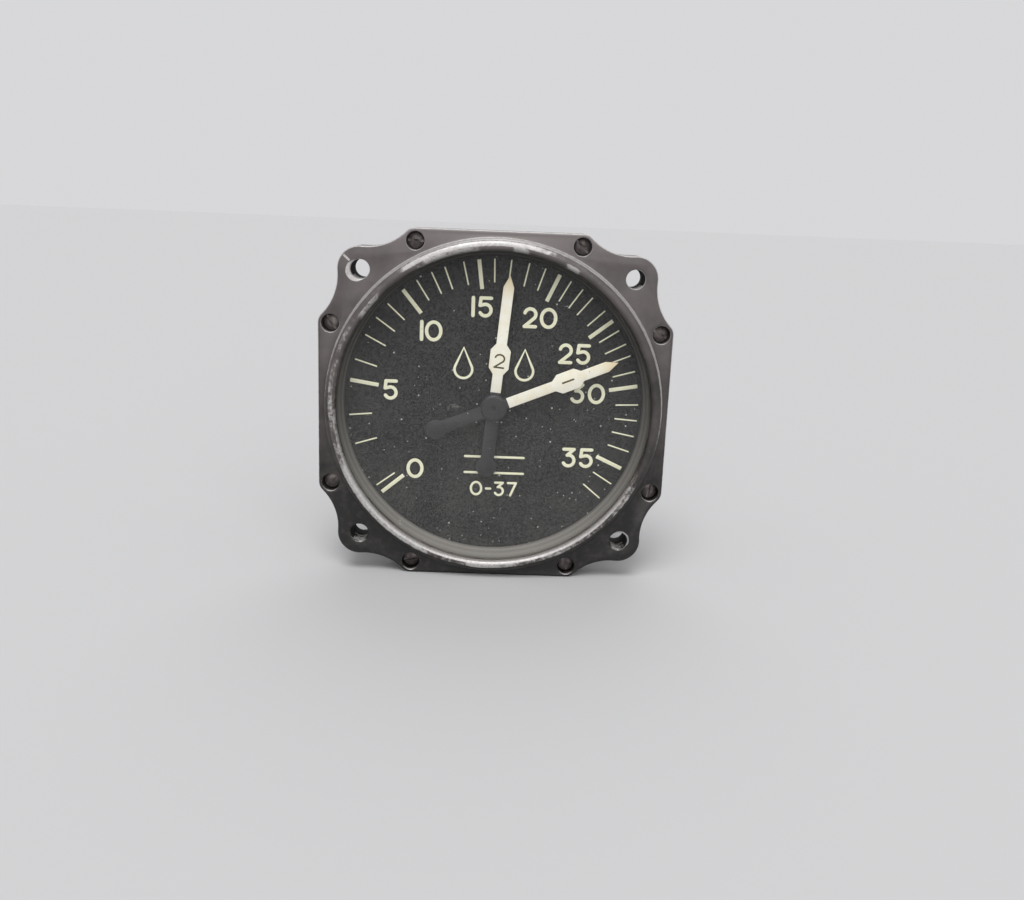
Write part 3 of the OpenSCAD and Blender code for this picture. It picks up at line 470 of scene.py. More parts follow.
def granular(name, base, dark, roughness, grain_size, relief):
    """Cork, rubber or moulded phenolic: no metal, with grains of two shades and a slight relief."""
    material, tree, shader = new_material(name, {"Roughness": roughness, "Specular IOR Level": 0.35})
    place = add_node(tree, "TexCoord", out="Object")
    grains = add_node(tree, "TexVoronoi", {0: place, "Scale": per_mm(grain_size)}, out="Color").node.outputs
    pick = add_node(tree, "SeparateXYZ", {0: grains["Color"]}, out="X")
    shade = add_node(tree, "Mix", {0: pick, 6: colour(base), 7: colour(dark)}, out=2, data_type="RGBA")
    bump_values = {"Strength": 0.5, "Distance": relief * MM, "Height": grains["Distance"]}
    bump = add_node(tree, "Bump", bump_values)
    tree.links.new(shade, shader.inputs["Base Color"])
    tree.links.new(bump, shader.inputs["Normal"])
    return material


def woven_sleeve(name):
    """Lacquered cotton sleeve on the leads: fine diagonal threads in dull red-brown."""
    material, tree, shader = new_material(name, {"Roughness": 0.6})
    place = add_node(tree, "TexCoord", out="Object")
    threads = add_node(tree, "TexWave", {0: place, "Scale": per_mm(2.4), "Distortion": 0.4},
                       bands_direction="DIAGONAL")
    shade = add_node(tree, "Mix", {0: threads, 6: colour("#6d271f"), 7: colour("#9a4434")}, out=2, data_type="RGBA")
    bump = add_node(tree, "Bump", {"Strength": 0.5, "Distance": 0.03 * MM, "Height": threads})
    tree.links.new(shade, shader.inputs["Base Color"])
    tree.links.new(bump, shader.inputs["Normal"])
    return material


# Mapping offset that brings the rub mark on the glass, left of the pivot, to the origin
RUB_MARK = (9.7 * MM, 0, -1.2 * MM)


def dusty_glass(name):
    """Flat instrument glass with a faint reflection, a haze of dust and a few specks and rub marks."""
    material, tree, shader = new_material(name, {"Base Color": colour("#c9c8c2"), "Roughness": 0.8})
    place = add_node(tree, "TexCoord", out="Object")
    output = tree.nodes["Material Output"]
    clear = add_node(tree, "BsdfTransparent", {0: (1, 1, 1, 1)})
    gloss = add_node(tree, "BsdfAnisotropic", {"Color": (1, 1, 1, 1), "Roughness": 0.04})
    pane = add_node(tree, "MixShader", {0: 0.008, 1: clear, 2: gloss})
    haze = add_node(tree, "TexNoise", {0: place, "Scale": per_mm(12), "Detail": 8, "Roughness": 0.75})
    haze = add_node(tree, "MapRange", {0: haze, 1: 0.35, 2: 0.75, 3: 0.3, 4: 1.4})
    height = add_node(tree, "SeparateXYZ", {0: place}, out="Z")
    settled = add_node(tree, "MapRange", {0: height, 1: 25 * MM, 2: -34 * MM, 3: 0.014, 4: 0.042})
    dust_and_painted_light = add_node(tree, "Math", {0: haze, 1: settled}, operation="MULTIPLY")
    specks = add_node(tree, "MapRange", {0: dust_specks(tree, place, 1.5, 0.1), 3: 0, 4: 0.6})
    depth = add_node(tree, "SeparateXYZ", {0: place}, out="Y")
    front = (GLASS_FRONT + 0.1) * MM
    specks = add_node(tree, "MapRange", {0: depth, 1: front + 0.1 * MM, 2: front, 3: 0, 4: specks})
    rub_place = add_node(tree, "Mapping", {0: place, "Scale": (1, 1, 2.5), "Location": RUB_MARK})
    away = add_node(tree, "VectorMath", {0: rub_place, 1: (1, 0, 1)}, operation="MULTIPLY")
    away = add_node(tree, "VectorMath", {0: away}, out="Value", operation="LENGTH")
    streaks = add_node(tree, "TexNoise", {0: rub_place, "Scale": per_mm(1.1), "Detail": 3})
    streaks = add_node(tree, "MapRange", {0: streaks, 1: 0.5, 2: 0.62, 3: 0, 4: 0.22})
    rub = add_node(tree, "MapRange", {0: away, 1: 2.6 * MM, 2: 1.2 * MM, 3: 0, 4: streaks})
    for film in (specks, rub):
        dust_and_painted_light = add_node(tree, "Math", {0: dust_and_painted_light, 1: film}, operation="MAXIMUM")
    dusty = add_node(tree, "MixShader", {0: dust_and_painted_light, 1: pane, 2: shader.outputs[0]})
    tree.links.new(dusty, output.inputs["Surface"])
    return material


paint_on_bezel = worn_paint("black_enamel_worn_on_bezel", bezel_wear)
paint_on_case = worn_paint("black_enamel_on_case", case_wear)
scale_paint = aged_paint("cream_paint_on_dial", "#fbfadd", "#e8e5b9")
pointer_paint = aged_paint("luminous_paint_on_pointers", "#fffdef", "#f0dcac", stained_tip=True)
figure_paint = aged_paint("olive_brown_figure_paint", "#4a4420", "#5c5530")
dial_black = dull_black("matt_black_dial_lacquer", "#1b1b1c", "#474747", 0.14, gloss=0.08)
pointer_black = dull_black("satin_black_pointer_lacquer", "#1c1c1f", "#2b2b2e", 0.1, gloss=0.5, roughness=0.45)
ring_grey = grey_wall("grey_lacquered_spacer_ring")
screw_steel = machined_metal("blackened_screw_steel", "#7a7371", "#453f3d", 0.42, metallic=0.75)
shaft_steel = machined_metal("blackened_shaft_steel", "#3c3a3a", "#242323", 0.42, metallic=0.75)
bright_steel = machined_metal("ground_bright_steel", "#cfccc6", "#a9a59d", 0.28)
brass = machined_metal("turned_brass", "#c9a552", "#9f7c37", 0.3)
plated_aluminium = machined_metal("cadmium_plated_aluminium", "#a39e8a", "#857f68", 0.42)
magnet_metal = machined_metal("cast_magnet_alloy", "#6f7277", "#55575c", 0.5)
lamination_iron = laminated_iron("varnished_iron_laminations")
copper_wire = enamelled_copper("enamelled_copper_wire")
damper_copper = machined_metal("drawn_copper", "#c4744a", "#9a5433", 0.3)
cork = granular("rubberised_cork", "#7a6248", "#4d3c2b", 0.9, 0.7, 0.1)
rubber = granular("black_sheet_rubber", "#232120", "#191817", 0.75, 0.4, 0.02)
phenolic = granular("black_moulded_phenolic", "#211e1c", "#171514", 0.4, 0.8, 0.02)
lead_sleeve = woven_sleeve("lacquered_cotton_sleeve")
glass = dusty_glass("instrument_glass")


# Modelling


def deselect_all():
    bpy.ops.object.select_all(action="DESELECT")


def make_active(piece):
    deselect_all()
    piece.select_set(True)
    bpy.context.view_layer.objects.active = piece


def apply_place(piece):
    """Puts a piece's place into its mesh, so that its object sits at the origin."""
    make_active(piece)
    bpy.ops.object.transform_apply(location=True, rotation=True, scale=True)


def start_edit(piece, mode):
    make_active(piece)
    bpy.context.tool_settings.mesh_select_mode = (mode == "VERT", mode == "EDGE", mode == "FACE")
    bpy.ops.object.mode_set(mode="EDIT")


def end_edit():
    bpy.ops.object.mode_set(mode="OBJECT")


def close_up(piece):
    """Merges doubled points and turns the faces of a closed piece outwards."""
    start_edit(piece, "VERT")
    bpy.ops.mesh.select_all(action="SELECT")
    bpy.ops.mesh.remove_doubles(threshold=0.001 * MM)
    bpy.ops.mesh.normals_make_consistent(inside=False)
    end_edit()


def smooth(piece, angle=35):
    """Smooth shading that keeps edges sharper than an angle in degrees."""
    make_active(piece)
    bpy.ops.object.shade_smooth_by_angle(angle=radians(angle))


def turned(name, section, hollow=False, segments=160):
    """Turns a section of (radius, depth) points about the pivot axis, as on a lathe.

    A hollow section is a closed loop. Any other runs from one end face to the other."""
    radius, depth = section[0]
    deselect_all()
    bpy.ops.mesh.primitive_circle_add(
        vertices=segments, radius=radius * MM, location=(0, depth * MM, 0), rotation=(pi / 2, 0, 0))
    piece = bpy.context.object
    piece.name = name
    apply_place(piece)
    start_edit(piece, "VERT")
    bpy.ops.mesh.select_all(action="SELECT")
    for next_radius, next_depth in section[1:]:
        step = (0, (next_depth - depth) * MM, 0)
        growth = next_radius / radius
        bpy.ops.mesh.extrude_region_move(TRANSFORM_OT_translate={"value": step})
        bpy.ops.transform.resize(value=(growth, 1, growth), center_override=(0, 0, 0))
        radius, depth = next_radius, next_depth
    bpy.ops.mesh.select_all(action="DESELECT")
    bpy.ops.mesh.select_non_manifold()
    if hollow:
        bpy.ops.mesh.bridge_edge_loops()
    else:
        bpy.ops.mesh.fill_holes(sides=0)
    end_edit()
    close_up(piece)
    return piece


def arc(centre, radius, start, end, steps=8):
    """Points of an arc between two angles in degrees, counter-clockwise from the first axis."""
    turns = [radians(start + (end - start) * i / steps) for i in range(steps + 1)]
    return [(centre[0] + radius * cos(a), centre[1] + radius * sin(a)) for a in turns]


def line_curve(name, strokes, closed=False):
    """A curve of straight-sided strokes, each a list of (x, depth, z) or (x, depth, z, share of width)."""
    curve = bpy.data.curves.new(name, "CURVE")
    curve.dimensions = "3D"
    for stroke in strokes:
        spline = curve.splines.new("POLY")
        spline.points.add(len(stroke) - 1)
        spline.use_cyclic_u = closed
        for point, (x, depth, z, *share) in zip(spline.points, stroke):
            point.co = (x * MM, depth * MM, z * MM, 1)
            point.radius = share[0] if share else 1
    piece = bpy.data.objects.new(name, curve)
    bpy.context.scene.collection.objects.link(piece)
    return piece


def to_mesh(piece):
    make_active(piece)
    bpy.ops.object.convert(target="MESH")
    return bpy.context.object


def plate(name, outline, front, back):
    """A flat plate between two depths, from an outline of (x, z) points."""
    piece = to_mesh(line_curve(name, [[(x, front, z) for x, z in outline]], closed=True))
    start_edit(piece, "VERT")
    bpy.ops.mesh.select_all(action="SELECT")
    bpy.ops.mesh.remove_doubles(threshold=0.001 * MM)
    bpy.ops.mesh.edge_face_add()
    bpy.ops.mesh.extrude_region_move(TRANSFORM_OT_translate={"value": (0, (back - front) * MM, 0)})
    end_edit()
    close_up(piece)
    return piece


def bevel_edges(piece, width, segments, where):
    """Rounds the edges whose two ends both pass a test of their place in millimetres."""
    mesh = piece.data
    for part in [*mesh.polygons, *mesh.vertices]:
        part.select = False
    for edge in mesh.edges:
        edge.select = all(where(mesh.vertices[i].co / MM) for i in edge.vertices)
    start_edit(piece, "EDGE")
    bpy.ops.mesh.bevel(offset=width * MM, segments=segments, affect="EDGES")
    end_edit()


def bevel_rim(piece, depth, width, segments=3):
    """Rounds the outer edge of a plate at one of its two faces."""
    bevel_edges(piece, width, segments, lambda place: abs(place.y - depth) < 0.001)


def boolean(piece, tool, operation="DIFFERENCE"):
    """Cuts a tool shape from a piece, or adds it, and removes the tool."""
    make_active(piece)
    modifier = piece.modifiers.new("shape", "BOOLEAN")
    modifier.operation = operation
    modifier.solver = "EXACT"
    modifier.object = tool
    bpy.ops.object.modifier_apply(modifier=modifier.name)
    bpy.data.objects.remove(tool)


def joined(name, pieces):
    """Joins several meshes into one piece."""
    deselect_all()
    for piece in pieces:
        piece.select_set(True)
    bpy.context.view_layer.objects.active = pieces[0]
    bpy.ops.object.join()
    whole = bpy.context.object
    whole.name = name
    return whole


def placed_copies(name, pattern, places):
    """Copies a pattern to each place, a matrix in metres, joins the copies and removes the pattern."""
    copies = []
    for place in places:
        copy = pattern.copy()
        copy.data = pattern.data.copy()
        copy.data.transform(place)
        bpy.context.scene.collection.objects.link(copy)
        copies.append(copy)
    bpy.data.objects.remove(pattern)
    return joined(name, copies)


def shift(x, z, turn=0.0):
    """Matrix that turns a pattern clockwise, as the reader sees it, and moves it from the pivot axis to (x, z)."""
    return Matrix.Translation((x * MM, 0, z * MM)) @ Matrix.Rotation(radians(turn), 4, "Y")


def clock(angle, radius=0.0):
    """Matrix that carries a pattern drawn at 12 o'clock to a dial angle, at a radius."""
    return Matrix.Rotation(radians(angle), 4, "Y") @ Matrix.Translation((0, 0, radius * MM))


def hole_cutter(radius, front, back, rim):
    """Tool for a round hole with a rounded rim on the front face."""
    rounding = [(radius + rim - rim * sin(radians(a)), front + rim - rim * cos(radians(a)))
                for a in (0, 30, 60, 90)]
    section = [(radius + rim, front - 1), *rounding, (radius, back)]
    return turned("cutter", section, segments=48)


def flange_outline():
    """Outline of the flange: screw bosses on the flat sides, lobes round the mounting holes."""
    span = dist(BOSS, MOUNT_HOLE)
    along = ((BOSS_R + HOLLOW_R) ** 2 - (LOBE_R + HOLLOW_R) ** 2 + span ** 2) / (2 * span)
    out = sqrt((BOSS_R + HOLLOW_R) ** 2 - along ** 2)
    unit = [(b - a) / span for a, b in zip(BOSS, MOUNT_HOLE)]
    hollow = (BOSS[0] + unit[0] * along - unit[1] * out, BOSS[1] + unit[1] * along + unit[0] * out)
    to_boss = degrees(atan2(BOSS[1] - hollow[1], BOSS[0] - hollow[0]))
    to_lobe = degrees(atan2(MOUNT_HOLE[1] - hollow[1], MOUNT_HOLE[0] - hollow[0]))
    eighth = [
        *arc(BOSS, BOSS_R, 90, to_boss + 180, 8),
        *arc(hollow, HOLLOW_R, to_boss, to_lobe, 10)[1:],
        *arc(MOUNT_HOLE, LOBE_R, to_lobe + 180, 45, 10)[1:],
    ]
    quarter = eighth + [(z, x) for x, z in reversed(eighth[:-1])]
    return [point for side in range(4) for point in (four_turns(p)[side] for p in quarter)]


def make_bezel():
    """Flange with rounded edges, raised ring with a fillet at its foot, counterbores and holes."""
    bezel = plate("bezel_casting", flange_outline(), 0, FLANGE_BACK)
    bevel_rim(bezel, 0, 0.45, 4)
    bevel_rim(bezel, FLANGE_BACK, 0.2, 2)
    opening_r = RING_FOOT_R - 0.3
    boolean(bezel, turned("opening", [(opening_r, -1), (opening_r, FLANGE_BACK + 1)]))
    foot = 0.6
    inner_round = 0.9
    wall_r = RING_FOOT_R - 0.08
    crest_r = wall_r - CRESTS_OUTER_ROUND
    section = [
        (WINDOW_R, LIP_BACK),
        *arc((WINDOW_R + inner_round, CREST + inner_round), inner_round, 180, 270, 8),
        *arc((crest_r, CREST + CRESTS_OUTER_ROUND), CRESTS_OUTER_ROUND, 270, 360, 10),
        *arc((wall_r + foot, -foot), foot, 180, 90, 6),
        (RING_FOOT_R + foot, FLANGE_BACK - 0.3),
        (RING_FOOT_R - 0.9, FLANGE_BACK - 0.05),
        (BORE_R, FLANGE_BACK - 0.05),
        (BORE_R, LIP_BACK),
    ]
    boolean(bezel, turned("ring", section, hollow=True, segments=192), "UNION")
    counterbore = hole_cutter(COUNTERBORE_R, 0, COUNTERBORE_DEPTH, 0.22)
    boolean(bezel, placed_copies("cutter", counterbore, [shift(x, z) for x, z in CASE_SCREWS]))
    clearance = turned("cutter", [(SCREW_HOLE_R, 1), (SCREW_HOLE_R, FLANGE_BACK + 1)], segments=32)
    boolean(bezel, placed_copies("cutter", clearance, [shift(x, z) for x, z in CASE_SCREWS]))
    mount = hole_cutter(MOUNT_HOLE_R, 0, FLANGE_BACK + 1, 0.3)
    boolean(bezel, placed_copies("cutter", mount, [shift(x, z) for x, z in MOUNT_HOLES]))
    close_up(bezel)
    smooth(bezel)
    return bezel


def finish_piece(piece, material, body, slot, *nodes):
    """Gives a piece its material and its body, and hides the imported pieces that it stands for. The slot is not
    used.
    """
    piece.data.materials.clear()
    piece.data.materials.append(material)
    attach(piece, body)
    if nodes:
        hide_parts(*nodes)


def slotted_screw(name, head_r, head_h, shank_r, length, dome=0.3, segments=48):
    """A fillister screw that enters along +Y: domed head with a rounded rim, cross slot and pointed shank."""
    rim = 0.22
    top = [(0.25 * head_r, -head_h), (0.6 * head_r, -head_h + 0.25 * dome), (head_r - rim, -head_h + dome)]
    section = [
        *top,
        *arc((head_r - rim, -head_h + dome + rim), rim, -60, 0, 3),
        (head_r, -0.1), (head_r - 0.1, 0), (shank_r, 0), (shank_r, length - 0.35), (shank_r - 0.35, length),
    ]
    screw = turned(name, section, segments=segments)
    slot_w = 0.3 * head_r
    bpy.ops.mesh.primitive_cube_add(size=1, location=(0, -head_h * MM, 0))
    slot = bpy.context.object
    slot.scale = (3 * head_r * MM, (0.5 * head_h + dome) * 2 * MM * 0.62, slot_w * MM)
    apply_place(slot)
    boolean(screw, slot)
    close_up(screw)
    return screw


def turned_over(angle):
    """Matrix that turns a screw so that it enters along -Y, with its slot at an angle."""
    return Matrix.Rotation(pi, 4, "Z") @ Matrix.Rotation(radians(angle), 4, "Y")


def screws_at(name, pattern, places, head_depth, backwards=False, slot_angles=range(35, 900, 67)):
    """Copies of a screw at (x, z) places, each with its slot at another angle."""
    matrices = []
    for slot_angle, (x, z) in zip(slot_angles, places):
        turn = turned_over(slot_angle) if backwards else Matrix.Rotation(radians(slot_angle), 4, "Y")
        matrices.append(Matrix.Translation((x * MM, head_depth * MM, z * MM)) @ turn)
    screws = placed_copies(name, pattern, matrices)
    smooth(screws)
    return screws


def make_glass():
    edge = 0.25
    section = [
        (GLASS_R - edge, GLASS_FRONT), (GLASS_R, GLASS_FRONT + edge),
        (GLASS_R, GLASS_BACK - edge), (GLASS_R - edge, GLASS_BACK),
    ]
    pane = turned("glass_pane", section)
    smooth(pane)
    return pane


def make_spacer_ring():
    """Inner wall between glass and dial; it leans in a little and has a small step at each end."""
    lean = 1.2
    step = 0.25
    section = [
        (WINDOW_R + step, GLASS_BACK), (GLASS_R, GLASS_BACK), (GLASS_R, DIAL_FRONT),
        (WINDOW_R - lean, DIAL_FRONT), (WINDOW_R - lean, DIAL_FRONT - 0.35),
        (WINDOW_R - lean + 0.1, DIAL_FRONT - 0.45), (WINDOW_R, GLASS_BACK + step),
    ]
    ring = turned("spacer_wall", section, hollow=True, segments=192)
    smooth(ring)
    return ring


def make_dial():
    edge = 0.15
    section = [
        (DIAL_HOLE_R + edge, DIAL_FRONT), (GLASS_R - edge, DIAL_FRONT), (GLASS_R, DIAL_FRONT + edge),
        (GLASS_R, DIAL_BACK - edge), (GLASS_R - edge, DIAL_BACK), (DIAL_HOLE_R, DIAL_BACK),
        (DIAL_HOLE_R, DIAL_FRONT + edge),
    ]
    dial = turned("dial_disc", section, hollow=True)
    smooth(dial)
    return dial


# Markings on the dial

STROKE = 0.85
FIGURE_H = 5.0
FIGURE_GAP = 0.75
CLOSE_GAPS = {"10": 0.3, "20": 0.5}
FIGURE_W = {"0": 4.2, "1": STROKE, "2": 3.45, "3": 3.4, "5": 3.45, "7": 3.4, "-": 2.2}
MAJOR_MARKS = (-130, -81.5, -39.5, -7.5, 24.5, 52, 80, 114.5)
MINOR_MARKS = (
    -126.5, -107.5, -95.5, -73, -62.5, -54.5, -47.5, -33, -26.5, -21, -13.5, -1.5, 5, 12, 18.5,
    29.5, 35, 40, 47, 56.5, 62.5, 67.5, 74, 87.5, 94, 100.5, 107, 122, 129.5,
)
NUMBERS = {
    "0": (-18.6, -16.1), "5": (-24.7, 3.1), "10": (-15.3, 17.45), "15": (-3.5, 23.5),
    "20": (10.2, 21.4), "25": (18.7, 13.2), "30": (22.4, 3.8), "35": (20.8, -12.1),
}
INK = 0.04


def figure_strokes(figure):
    """Strokes of a plain painted figure, centred on the origin at full size."""
    half_w = (FIGURE_W[figure] - STROKE) / 2
    half_h = (FIGURE_H - STROKE) / 2
    bowl_r = 1.35
    bowl = (half_w - bowl_r, bowl_r - half_h)
    if figure == "0":
        oval = [(half_w * x, half_h * z) for x, z in arc((0, 0), 1, 90, 450, 40)]
        return [oval[:-1] + oval[:1]]
    if figure == "1":
        return [[(0, -half_h), (0, half_h)]]
    if figure == "2":
        top = arc((0, half_h - half_w), half_w, 165, -40, 14)
        return [top + [(-half_w, -half_h)], [(-half_w, -half_h), (half_w, -half_h)]]
    if figure == "3":
        return [
            [(-half_w, half_h), (half_w - 0.1, half_h)],
            [(half_w - 0.1, half_h), (bowl[0] - 0.3, bowl[1] + bowl_r)],
            arc(bowl, bowl_r, 105, -150, 16),
        ]
    if figure == "5":
        return [
            [(half_w, half_h), (0.2 - half_w, half_h)],
            [(0.2 - half_w, half_h), (-half_w, 0.35)],
            [(-half_w, 0.35)] + arc(bowl, bowl_r, 115, -150, 16),
        ]
    if figure == "7":
        return [[(-half_w, half_h), (half_w, half_h)], [(half_w, half_h), (-0.35 * half_w, -half_h)]]
    return [[(-half_w, 0), (half_w, 0)]]


def line_of_figures(figures, centre, scale=1.0):
    """Strokes of a row of figures, centred on a place of the dial."""
    gaps = [CLOSE_GAPS.get(pair, FIGURE_GAP) for pair in map("".join, zip(figures, figures[1:]))] + [0]
    left = -(sum(FIGURE_W[f] for f in figures) + sum(gaps)) / 2
    strokes = []
    for figure, gap in zip(figures, gaps):
        middle = left + FIGURE_W[figure] / 2
        for stroke in figure_strokes(figure):
            strokes.append([(centre[0] + scale * (x + middle), centre[1] + scale * z) for x, z in stroke])
        left += FIGURE_W[figure] + gap
    return strokes


def with_round_ends(stroke, half_width):
    """Adds a rounded end to both ends of an open stroke, as (x, depth, z, share of width) points."""
    def cap(end, inner):
        length = dist(end, inner)
        way = ((end[0] - inner[0]) / length, (end[1] - inner[1]) / length)
        angles = [radians(a) for a in (30, 60, 80, 89)]
        return [(end[0] + way[0] * half_width * sin(a), 0, end[1] + way[1] * half_width * sin(a), cos(a))
                for a in angles]
    body = [(x, 0, z, 1) for x, z in stroke]
    return [*reversed(cap(stroke[0], stroke[1])), *body, *cap(stroke[-1], stroke[-2])]


def painted_strokes(name, strokes, width, front, thickness):
    """Raised paint along strokes on a face at a depth: round-ended, crowned and thin."""
    parts = []
    for number, stroke in enumerate(strokes):
        ring = stroke[0] == stroke[-1]
        points = [(x, 0, z) for x, z in stroke[:-1]] if ring else with_round_ends(stroke, width / 2)
        part = line_curve(f"{name}_{number}", [points], closed=ring)
        part.data.bevel_depth = width / 2 * MM
        part.data.bevel_resolution = 3
        part.data.use_fill_caps = not ring
        parts.append(to_mesh(part))
    piece = joined(name, parts)
    piece.scale = (1, thickness / (width / 2), 1)
    piece.location = (0, front * MM, 0)
    apply_place(piece)
    close_up(piece)
    smooth(piece, 60)
    return piece


def mark_bar(width, inner, outer, front):
    """A scale mark at 12 o'clock: a thin bar of paint with rounded edges."""
    deselect_all()
    bpy.ops.mesh.primitive_cube_add(size=1, location=(0, front * MM, (inner + outer) / 2 * MM))
    bar = bpy.context.object
    bar.scale = (width * MM, 2 * INK * MM, (outer - inner) * MM)
    apply_place(bar)
    bevel_rim(bar, front - INK, 0.6 * INK, 2)
    return bar


def make_scale_marks():
    major = placed_copies(
        "major_marks", mark_bar(0.92, MAJOR_INNER_R, TICK_OUTER_R, DIAL_FRONT), [clock(a) for a in MAJOR_MARKS])
    minor = placed_copies(
        "minor_marks", mark_bar(0.34, MINOR_INNER_R, TICK_OUTER_R, DIAL_FRONT), [clock(a) for a in MINOR_MARKS])
    marks = joined("scale_marks", [major, minor])
    smooth(marks)
    return marks


def make_scale_numbers():
    strokes = [s for figures, centre in NUMBERS.items() for s in line_of_figures(figures, centre)]
    return painted_strokes("scale_numbers", strokes, STROKE, DIAL_FRONT, INK)


def make_oil_drops():
    """Two outlined drops above the pivot, for the quantity of oil."""
    drop_r = 2.1
    tip = 5.2
    shoulder = 30
    strokes = []
    for x in (-7.5, 7.0):
        bowl = (x, 8.6)
        left, right = arc(bowl, drop_r, 180 - shoulder, 360 + shoulder, 24), (x, bowl[1] + tip)
        strokes.append([right] + left + [right])
    return painted_strokes("oil_drops", strokes, 0.62, DIAL_FRONT, INK)


def make_range_figures():
    """The range of the scale in figures below the pivot, under two thin lines."""
    strokes = line_of_figures("0-37", (0.6, -20.6), 0.75)
    strokes += [[(-6.5, z), (7.7, z)] for z in (-12.6, -16.6)]
    return painted_strokes("range_figures", strokes, 0.6, DIAL_FRONT, INK)


# Pointers

ARM_HALF = 1.25
LOZENGE_HALF = 2.375
LOZENGE_LEN = 7.2
LOZENGE_BEVEL = 1.45
LOZENGE_AT = {1: 18.8, 2: 11.6}
TAPER = 2.8
CENTRE_R = 3.2
CAP_R = 3.1
TAIL_HALF = 1.6
TAIL_AT = 14.8
TAIL_R = 2.45
PAINT_FROM = 3.6
PAINT_T = 0.12
BLADE_FRONT = {1: low("pointer_1_blade").y, 2: low("pointer_2_blade").y}
BLADE_BACK = {1: high("pointer_1_blade").y, 2: high("pointer_2_blade").y}
HUB_FRONT = {1: low("pointer_1_hub").y, 2: low("pointer_2_hub").y}
HUB_BACK = {1: high("pointer_1_hub").y, 2: high("pointer_2_hub").y}
HUB_HOLE_R = {1: 0.77, 2: 1.62}
HUB_R = {1: 1.4, 2: 2.0}


def arm_side(number):
    """Right side of a pointer's arm, from its lozenge to its tip."""
    near = LOZENGE_AT[number] - LOZENGE_LEN / 2
    far = LOZENGE_AT[number] + LOZENGE_LEN / 2
    return [
        (ARM_HALF, near), (LOZENGE_HALF, near + LOZENGE_BEVEL), (LOZENGE_HALF, far - LOZENGE_BEVEL),
        (ARM_HALF, far), (ARM_HALF, POINTER_TIP - TAPER),
    ]


def mirrored(side):
    return [(-x, z) for x, z in reversed(side)]


def make_blade(number):
    """Blade of a pointer: arm, lozenge and spear tip on one side, weighted tail on the other."""
    tail_top = TAIL_AT - sqrt(TAIL_R ** 2 - TAIL_HALF ** 2)
    arm_angle = degrees(atan2(sqrt(CENTRE_R ** 2 - ARM_HALF ** 2), ARM_HALF))
    tail_angle = degrees(atan2(-sqrt(CENTRE_R ** 2 - TAIL_HALF ** 2), TAIL_HALF))
    weight_angle = degrees(atan2(TAIL_AT - tail_top, TAIL_HALF))
    side = [
        *arc((0, -TAIL_AT), TAIL_R, -90, weight_angle, 14)[1:],
        *arc((0, 0), CENTRE_R, tail_angle, arm_angle, 14),
        *arm_side(number),
    ]
    outline = [(0, -TAIL_AT - TAIL_R)] + side + [(0, POINTER_TIP)] + mirrored(side)
    blade = plate(f"pointer_{number}_plate", outline, BLADE_FRONT[number], BLADE_BACK[number])
    bevel_rim(blade, BLADE_FRONT[number], 0.1, 2)
    hole_r = HUB_R[number] + 0.02
    boolean(blade, turned("cutter", [(hole_r, 0), (hole_r, 6)], segments=48))
    close_up(blade)
    blade.data.transform(clock(POINTER_ANGLE[number]))
    smooth(blade)
    return blade


def make_pointer_paint(number):
    """Layer of luminous paint over a pointer's arm, lozenge and tip."""
    side = [(ARM_HALF, PAINT_FROM), *arm_side(number)]
    front = BLADE_FRONT[number] - PAINT_T
    paint = plate(
        f"pointer_{number}_paint", side + [(0, POINTER_TIP)] + mirrored(side), front, BLADE_FRONT[number])
    bevel_rim(paint, front, 0.09, 3)
    paint.data.transform(clock(POINTER_ANGLE[number]))
    smooth(paint, 50)
    return paint


def make_pointer_figure(number):
    """The pointer's number on its lozenge, in thin dark strokes."""
    wide, high, middle = {1: (1.0, 0.65, 18.75), 2: (0.84, 0.74, 11.2)}[number]
    strokes = [[(wide * x, middle + high * z) for x, z in stroke] for stroke in figure_strokes(str(number))]
    figure = painted_strokes(
        f"pointer_{number}_figure", strokes, 0.42, BLADE_FRONT[number] - PAINT_T, 0.03)
    figure.data.transform(clock(POINTER_ANGLE[number]))
    return figure


def make_hub(number):
    """Hub of a pointer: a boss through the blade and a collar behind it; pointer 1 has a wide cap in front."""
    collar = CENTRE_R - 0.4
    hub_r, hole_r, front, back = HUB_R[number], HUB_HOLE_R[number], HUB_FRONT[number], HUB_BACK[number]
    nose = [(hub_r - 0.1, front), (hub_r, front + 0.1)]
    if number == 1:
        cap_edge = 0.22
        nose = [
            (CAP_R - 0.55, front), (CAP_R - cap_edge, front + 0.04), (CAP_R, front + cap_edge),
            (CAP_R, BLADE_FRONT[1]), (hub_r, BLADE_FRONT[1]),
        ]
    section = [
        (hole_r, front), *nose, (hub_r, BLADE_BACK[number]), (collar, BLADE_BACK[number]),
        (collar, back - 0.1), (collar - 0.1, back), (hole_r, back),
    ]
    hub = turned(f"pointer_{number}_boss", section, hollow=True, segments=64)
    smooth(hub)
    return hub


# Case and connector

BOWL_R = 35.2
BOWL_IN_R = 33.2
BOWL_FLOOR = 13.2
SHOULDER = 15.2
CAN_R = 24.5
CAN_IN_R = 22.0
LUG_R = 2.9
LUG_AT = CAN_R + 2.1
LUG_LEN = 6
LUG_ANGLES = (45, 135, 225, 315)
SMALL_SCREW_R = 1.1
PLATE_SCREW_R = 27.75


def at_lugs():
    return [(LUG_AT * sin(radians(a)), LUG_AT * cos(radians(a))) for a in LUG_ANGLES]


def rounded_post(radius, front, back, rounding, round_front=False):
    """A round post whose back edge, and front edge if asked, is rounded."""
    section = [(radius, front)]
    if round_front:
        section = [(0.4 * radius, front), *arc((radius - rounding, front + rounding), rounding, -90, 0, 4)]
    section += arc((radius - rounding, back - rounding), rounding, 0, 90, 4)
    return turned("post", section, segments=48)


